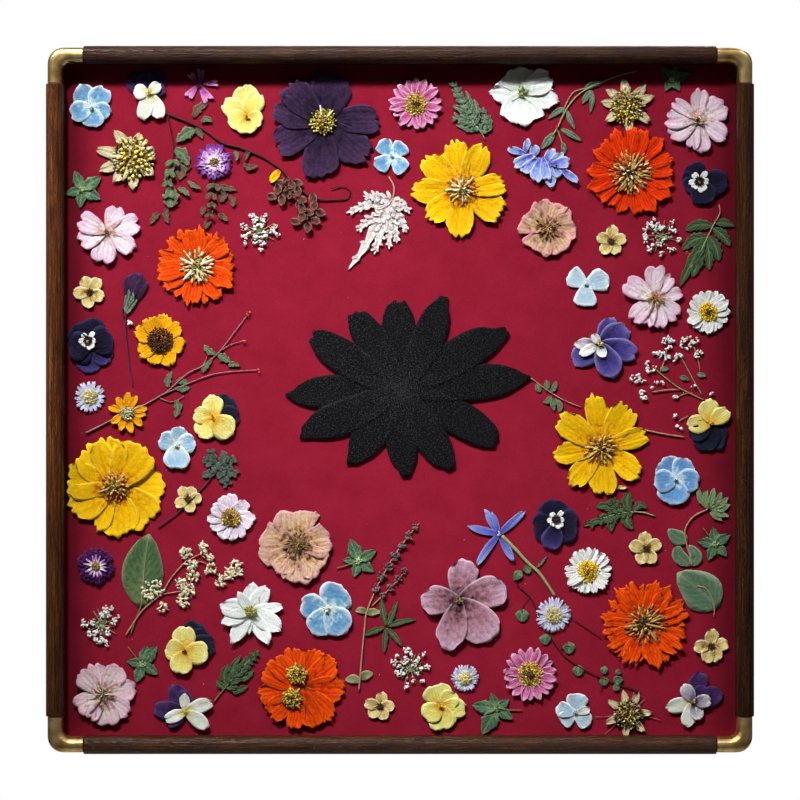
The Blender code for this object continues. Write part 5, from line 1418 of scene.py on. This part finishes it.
def makeSpecimen(name, item, rng):
    patch = newPatch()
    scale = photo["boardPixel"]
    for finish, start, end, *paths in item.get("stems", []):
        for path in paths:
            addStems(patch, [(pairs(path), start, end)], finish, rng, height=0.6)
    height = 0.45
    leafPaths = []
    for (finish, teeth, cut), rows in item.get("leaves", {}).items():
        for width, *path in rows:
            addLeaf(patch, pairs(path), width * scale, finish, rng, teeth, cut, height)
            leafPaths.append(path)
            height += 0.05
    for finish, count, length, width, *path in item.get("pairs", []):
        if len(path) == 1:
            path = leafPaths[path[0]]
        addPairs(patch, pairs(path), count, length * scale, width * scale, finish, rng, height)
    height = 0.5
    for (finish, shape), rows in item.get("petals", {}).items():
        for width, px, py, *tips in rows:
            base = spot(px, py)
            for tip in pairs(tips):
                dx, dy = spot(*tip) - base
                addPetal(patch, base, math.degrees(math.atan2(dy, dx)), math.hypot(dx, dy), width * scale,
                         finish, shape, rng, height, lift=0.6, cup=0.3)
                height += 0.12
    for finish, shape, px, py, count, length, width in item.get("rays", []):
        addRays(patch, spot(px, py), count, length * scale, width * scale, finish, shape, rng, height=height,
                step=0.4, shrink=0.12, wobble=4, across=4, along=6, lift=0.8, cup=0.2)
        height += 0.35
    seeds = list(item.get("seeds", []))
    if "bristles" in item:
        finish, *manner = item["bristles"]
        clusters = next(iter(item["florets"].values()))[1:]
        seeds += [(finish, px, py, radius, max(6, count // 2), *manner) for px, py, radius, count in clusters]
    for finish, px, py, radius, count, size, rise, *manner in seeds:
        addSeeds(patch, spot(px, py), radius * scale, count, size, finish, rng, rise, height + 0.3, *manner)
    for (finish, size), rows in item.get("florets", {}).items():
        addFlorets(patch, [((px, py), radius, count) for px, py, radius, count in rows], size, finish, rng)
    makePiece(name, patch, item["slot"], *([item["stands"]] if "stands" in item else []))


def addHeart(patch, middle, seeds, rng, height, unit=1):
    radius, count, size, finish, rise = seeds
    reach = unit * radius * photo["boardPixel"]
    addSeeds(patch, spot(*middle), reach, count, size, finish, rng, rise, height)


def makeSmallKinds():
    scale = photo["boardPixel"]
    rng = np.random.default_rng(500)
    patch = newPatch()
    for middle, length, directions in creamBlossoms:
        height = 0.45
        for direction in directions:
            addPetal(patch, spot(*middle), direction, length * scale * rng.uniform(0.93, 1.07),
                     length * smallKinds["creamWidth"] * scale, "creamBlossom", "disc", rng, height,
                     lift=0.5, cup=0.4, ripple=0.1)
            height += 0.12
        addHeart(patch, middle, smallKinds["creamSeeds"], rng, height + 0.1)
    makePiece("cream_blossoms", patch, "petals_yellow")
    patch = newPatch()
    for middle, radius, count in umbels:
        stalks = []
        for k in range(smallKinds["stalks"]):
            angle = math.tau * k / smallKinds["stalks"] + rng.uniform(-0.15, 0.15)
            reach = radius * rng.uniform(0.6, 0.95)
            path = [middle, around(middle, angle, reach * 0.5), around(middle, angle, reach)]
            stalks.append((path, *smallKinds["stalkThick"]))
        addStems(patch, stalks, "stemSage", rng, sides=5)
        green = [(middle, radius * smallKinds["greenShare"], smallKinds["greenCount"])]
        addFlorets(patch, green, smallKinds["greenSize"], "leafFern", rng, height=0.6)
        clusters = []
        for k in range(smallKinds["clusters"]):
            angle, reach = rng.uniform(0, math.tau), radius * math.sqrt(rng.uniform(0.06, 1.0))
            clusters.append((around(middle, angle, reach), smallKinds["clusterRadius"],
                             count // smallKinds["clusters"] + 1))
        addFlorets(patch, clusters, smallKinds["whiteSize"], "umbelWhite", rng, height=1.0)
    makePiece("umbels_white", patch, "petals_white")
    patch = newPatch()
    for middle, tips, stem in fiveLobed:
        for tip in tips:
            width = smallKinds["lobeWidth"] * math.hypot(tip[0] - middle[0], tip[1] - middle[1])
            half = ((middle[0] + tip[0]) / 2, (middle[1] + tip[1]) / 2)
            addLeaf(patch, [middle, half, tip], width * scale, "leafGreen", rng, smallKinds["lobeTeeth"],
                    smallKinds["lobeCut"], 0.45 + rng.uniform(0, 0.3), cup=0.4, taper=1.25)
        if stem:
            thick = smallKinds["lobeStem"]
            addStems(patch, [([middle, *stem], thick, thick)], "stemOlive", rng)
        addHeart(patch, middle, smallKinds["lobeSeeds"], rng, 0.9)
    makePiece("five_lobed_leaves", patch, "leaf_green")
    patch = newPatch()
    for middle, radius, rays in tinyDaisies:
        addRays(patch, spot(*middle), rays, radius * scale, smallKinds["rayWidth"] * scale, "daisySky",
                "strap", rng, height=0.5, step=0.4, across=4, along=6, lift=0.5, cup=0.1)
        for height, seeds in zip((0.9, 1.2), smallKinds["daisySeeds"]):
            addHeart(patch, middle, seeds, rng, height, radius)
    makePiece("tiny_daisies", patch, "petals_blue")
    patch = newPatch()
    loose = np.random.default_rng(specks["seed"])
    places = [((loose.uniform(*specks["across"]), loose.uniform(*specks["down"])), 0.0, 1)
              for _ in range(specks["count"])]
    addFlorets(patch, places, specks["size"], "speckWhite", rng, height=0.25, rise=0.0)
    makePiece("loose_specks", patch, "petals_white")


for number, (name, item) in enumerate(specimens.items()):
    makeSpecimen(name, item, np.random.default_rng(300 + number))
makeSmallKinds()
print("leaves and small flowers made")

# Camera, light and floor
view = {"distance": 1.92, "frontDepth": 0.020, "widthPixels": 800}
# Lamps: metres right of, in front of (minus) or behind and above the board's middle, size in metres,
# spread of the beam in degrees, power in watts. The narrow beams keep light off the floor, and back
# shows the object's back. aim: metres right of and above the board's middle.
lamps = {"key": {"at": (-0.42, -1.05, 1.50), "size": (0.16, 0.16), "spread": 27, "power": 1.15},
         "left": {"at": (-0.95, -0.80, 1.15), "size": (0.4, 0.2), "spread": 29, "power": 0.42},
         "right": {"at": (0.85, -0.85, 1.25), "size": (0.5, 0.2), "spread": 32, "power": 0.15},
         "back": {"at": (0.45, 1.10, 0.85), "size": (0.5, 0.5), "spread": 26, "power": 0.95}}
# fill lights the shade, shine is what glossy surfaces mirror besides the lamps, floor is how strongly
# the floor glows for the camera alone
studio = {"aim": (-0.035, 0.045), "fill": 0.012, "shine": 0.16, "floor": 0.62, "floorColour": "#e4e2de"}
# The floor's edges in metres, and how far it is below the board's middle
floorMake = {"left": -2.5, "right": 2.5, "front": -3.5, "back": 1.2, "below": 0.40}


def addLamp(name, settings):
    light = bpy.data.lights.new(name, "AREA")
    light.shape = "RECTANGLE"
    light.size, light.size_y = settings["size"]
    light.spread = math.radians(settings["spread"])
    light.energy = settings["power"]
    lamp = bpy.data.objects.new(name, light)
    right, front, above = settings["at"]
    lamp.location = (boardMiddle.x + right, boardFront + front, boardMiddle.z + above)
    aimX, aimZ = studio["aim"]
    aim = lamp.location - Vector((boardMiddle.x + aimX, boardFront, boardMiddle.z + aimZ))
    lamp.rotation_euler = aim.to_track_quat("Z", "Y").to_euler()
    bpy.context.scene.collection.objects.link(lamp)


def addFloor():
    mesh = bpy.data.meshes.new("floor")
    left, right, front, back = (floorMake[key] for key in ("left", "right", "front", "back"))
    level = boardMiddle.z - floorMake["below"]
    mesh.from_pydata([(left, front, level), (right, front, level), (right, back, level), (left, back, level)],
                     [], [(0, 1, 2, 3)])
    floorObject = bpy.data.objects.new("floor", mesh)
    bpy.context.scene.collection.objects.link(floorObject)
    # The floor looks pale without throwing red or white light back into the recess
    material = mingledMaterial("floorPainted")
    tree = material.node_tree
    shader = tree.nodes["Principled BSDF"]
    rays = addNode(tree, "ShaderNodeLightPath").outputs
    seen = calc(tree, "MULTIPLY", rays["Is Camera Ray"], studio["floor"])
    tree.links.new(seen, shader.inputs["Emission Strength"])
    shader.inputs["Emission Color"].default_value = toLinear(studio["floorColour"])
    mesh.materials.append(material)


def setStage():
    scene = bpy.context.scene
    camera = bpy.data.cameras.new("camera")
    half = photo["frontPixel"] * 0.001 * view["widthPixels"] / 2
    camera.angle = 2 * math.atan(half / view["distance"])
    camera.clip_end = 50
    cameraObject = bpy.data.objects.new("camera", camera)
    cameraObject.location = (boardMiddle.x, -view["frontDepth"] - view["distance"], boardMiddle.z)
    cameraObject.rotation_euler = (math.radians(90), 0, 0)
    scene.collection.objects.link(cameraObject)
    scene.camera = cameraObject
    for name, settings in lamps.items():
        addLamp(name + "Light", settings)
    # White behind the object for the camera, dim light for everything else
    world = bpy.data.worlds.new("studio")
    world.use_nodes = True
    tree = world.node_tree
    background = tree.nodes["Background"]
    rays = addNode(tree, "ShaderNodeLightPath").outputs
    mirrored = calc(tree, "MULTIPLY_ADD", rays["Is Glossy Ray"], studio["shine"], studio["fill"])
    background.inputs["Color"].default_value = (1, 1, 1, 1)
    tree.links.new(calc(tree, "MAXIMUM", rays["Is Camera Ray"], mirrored), background.inputs["Strength"])
    scene.world = world
    scene.view_settings.view_transform = "Standard"
    addFloor()


setStage()
print("stage set")
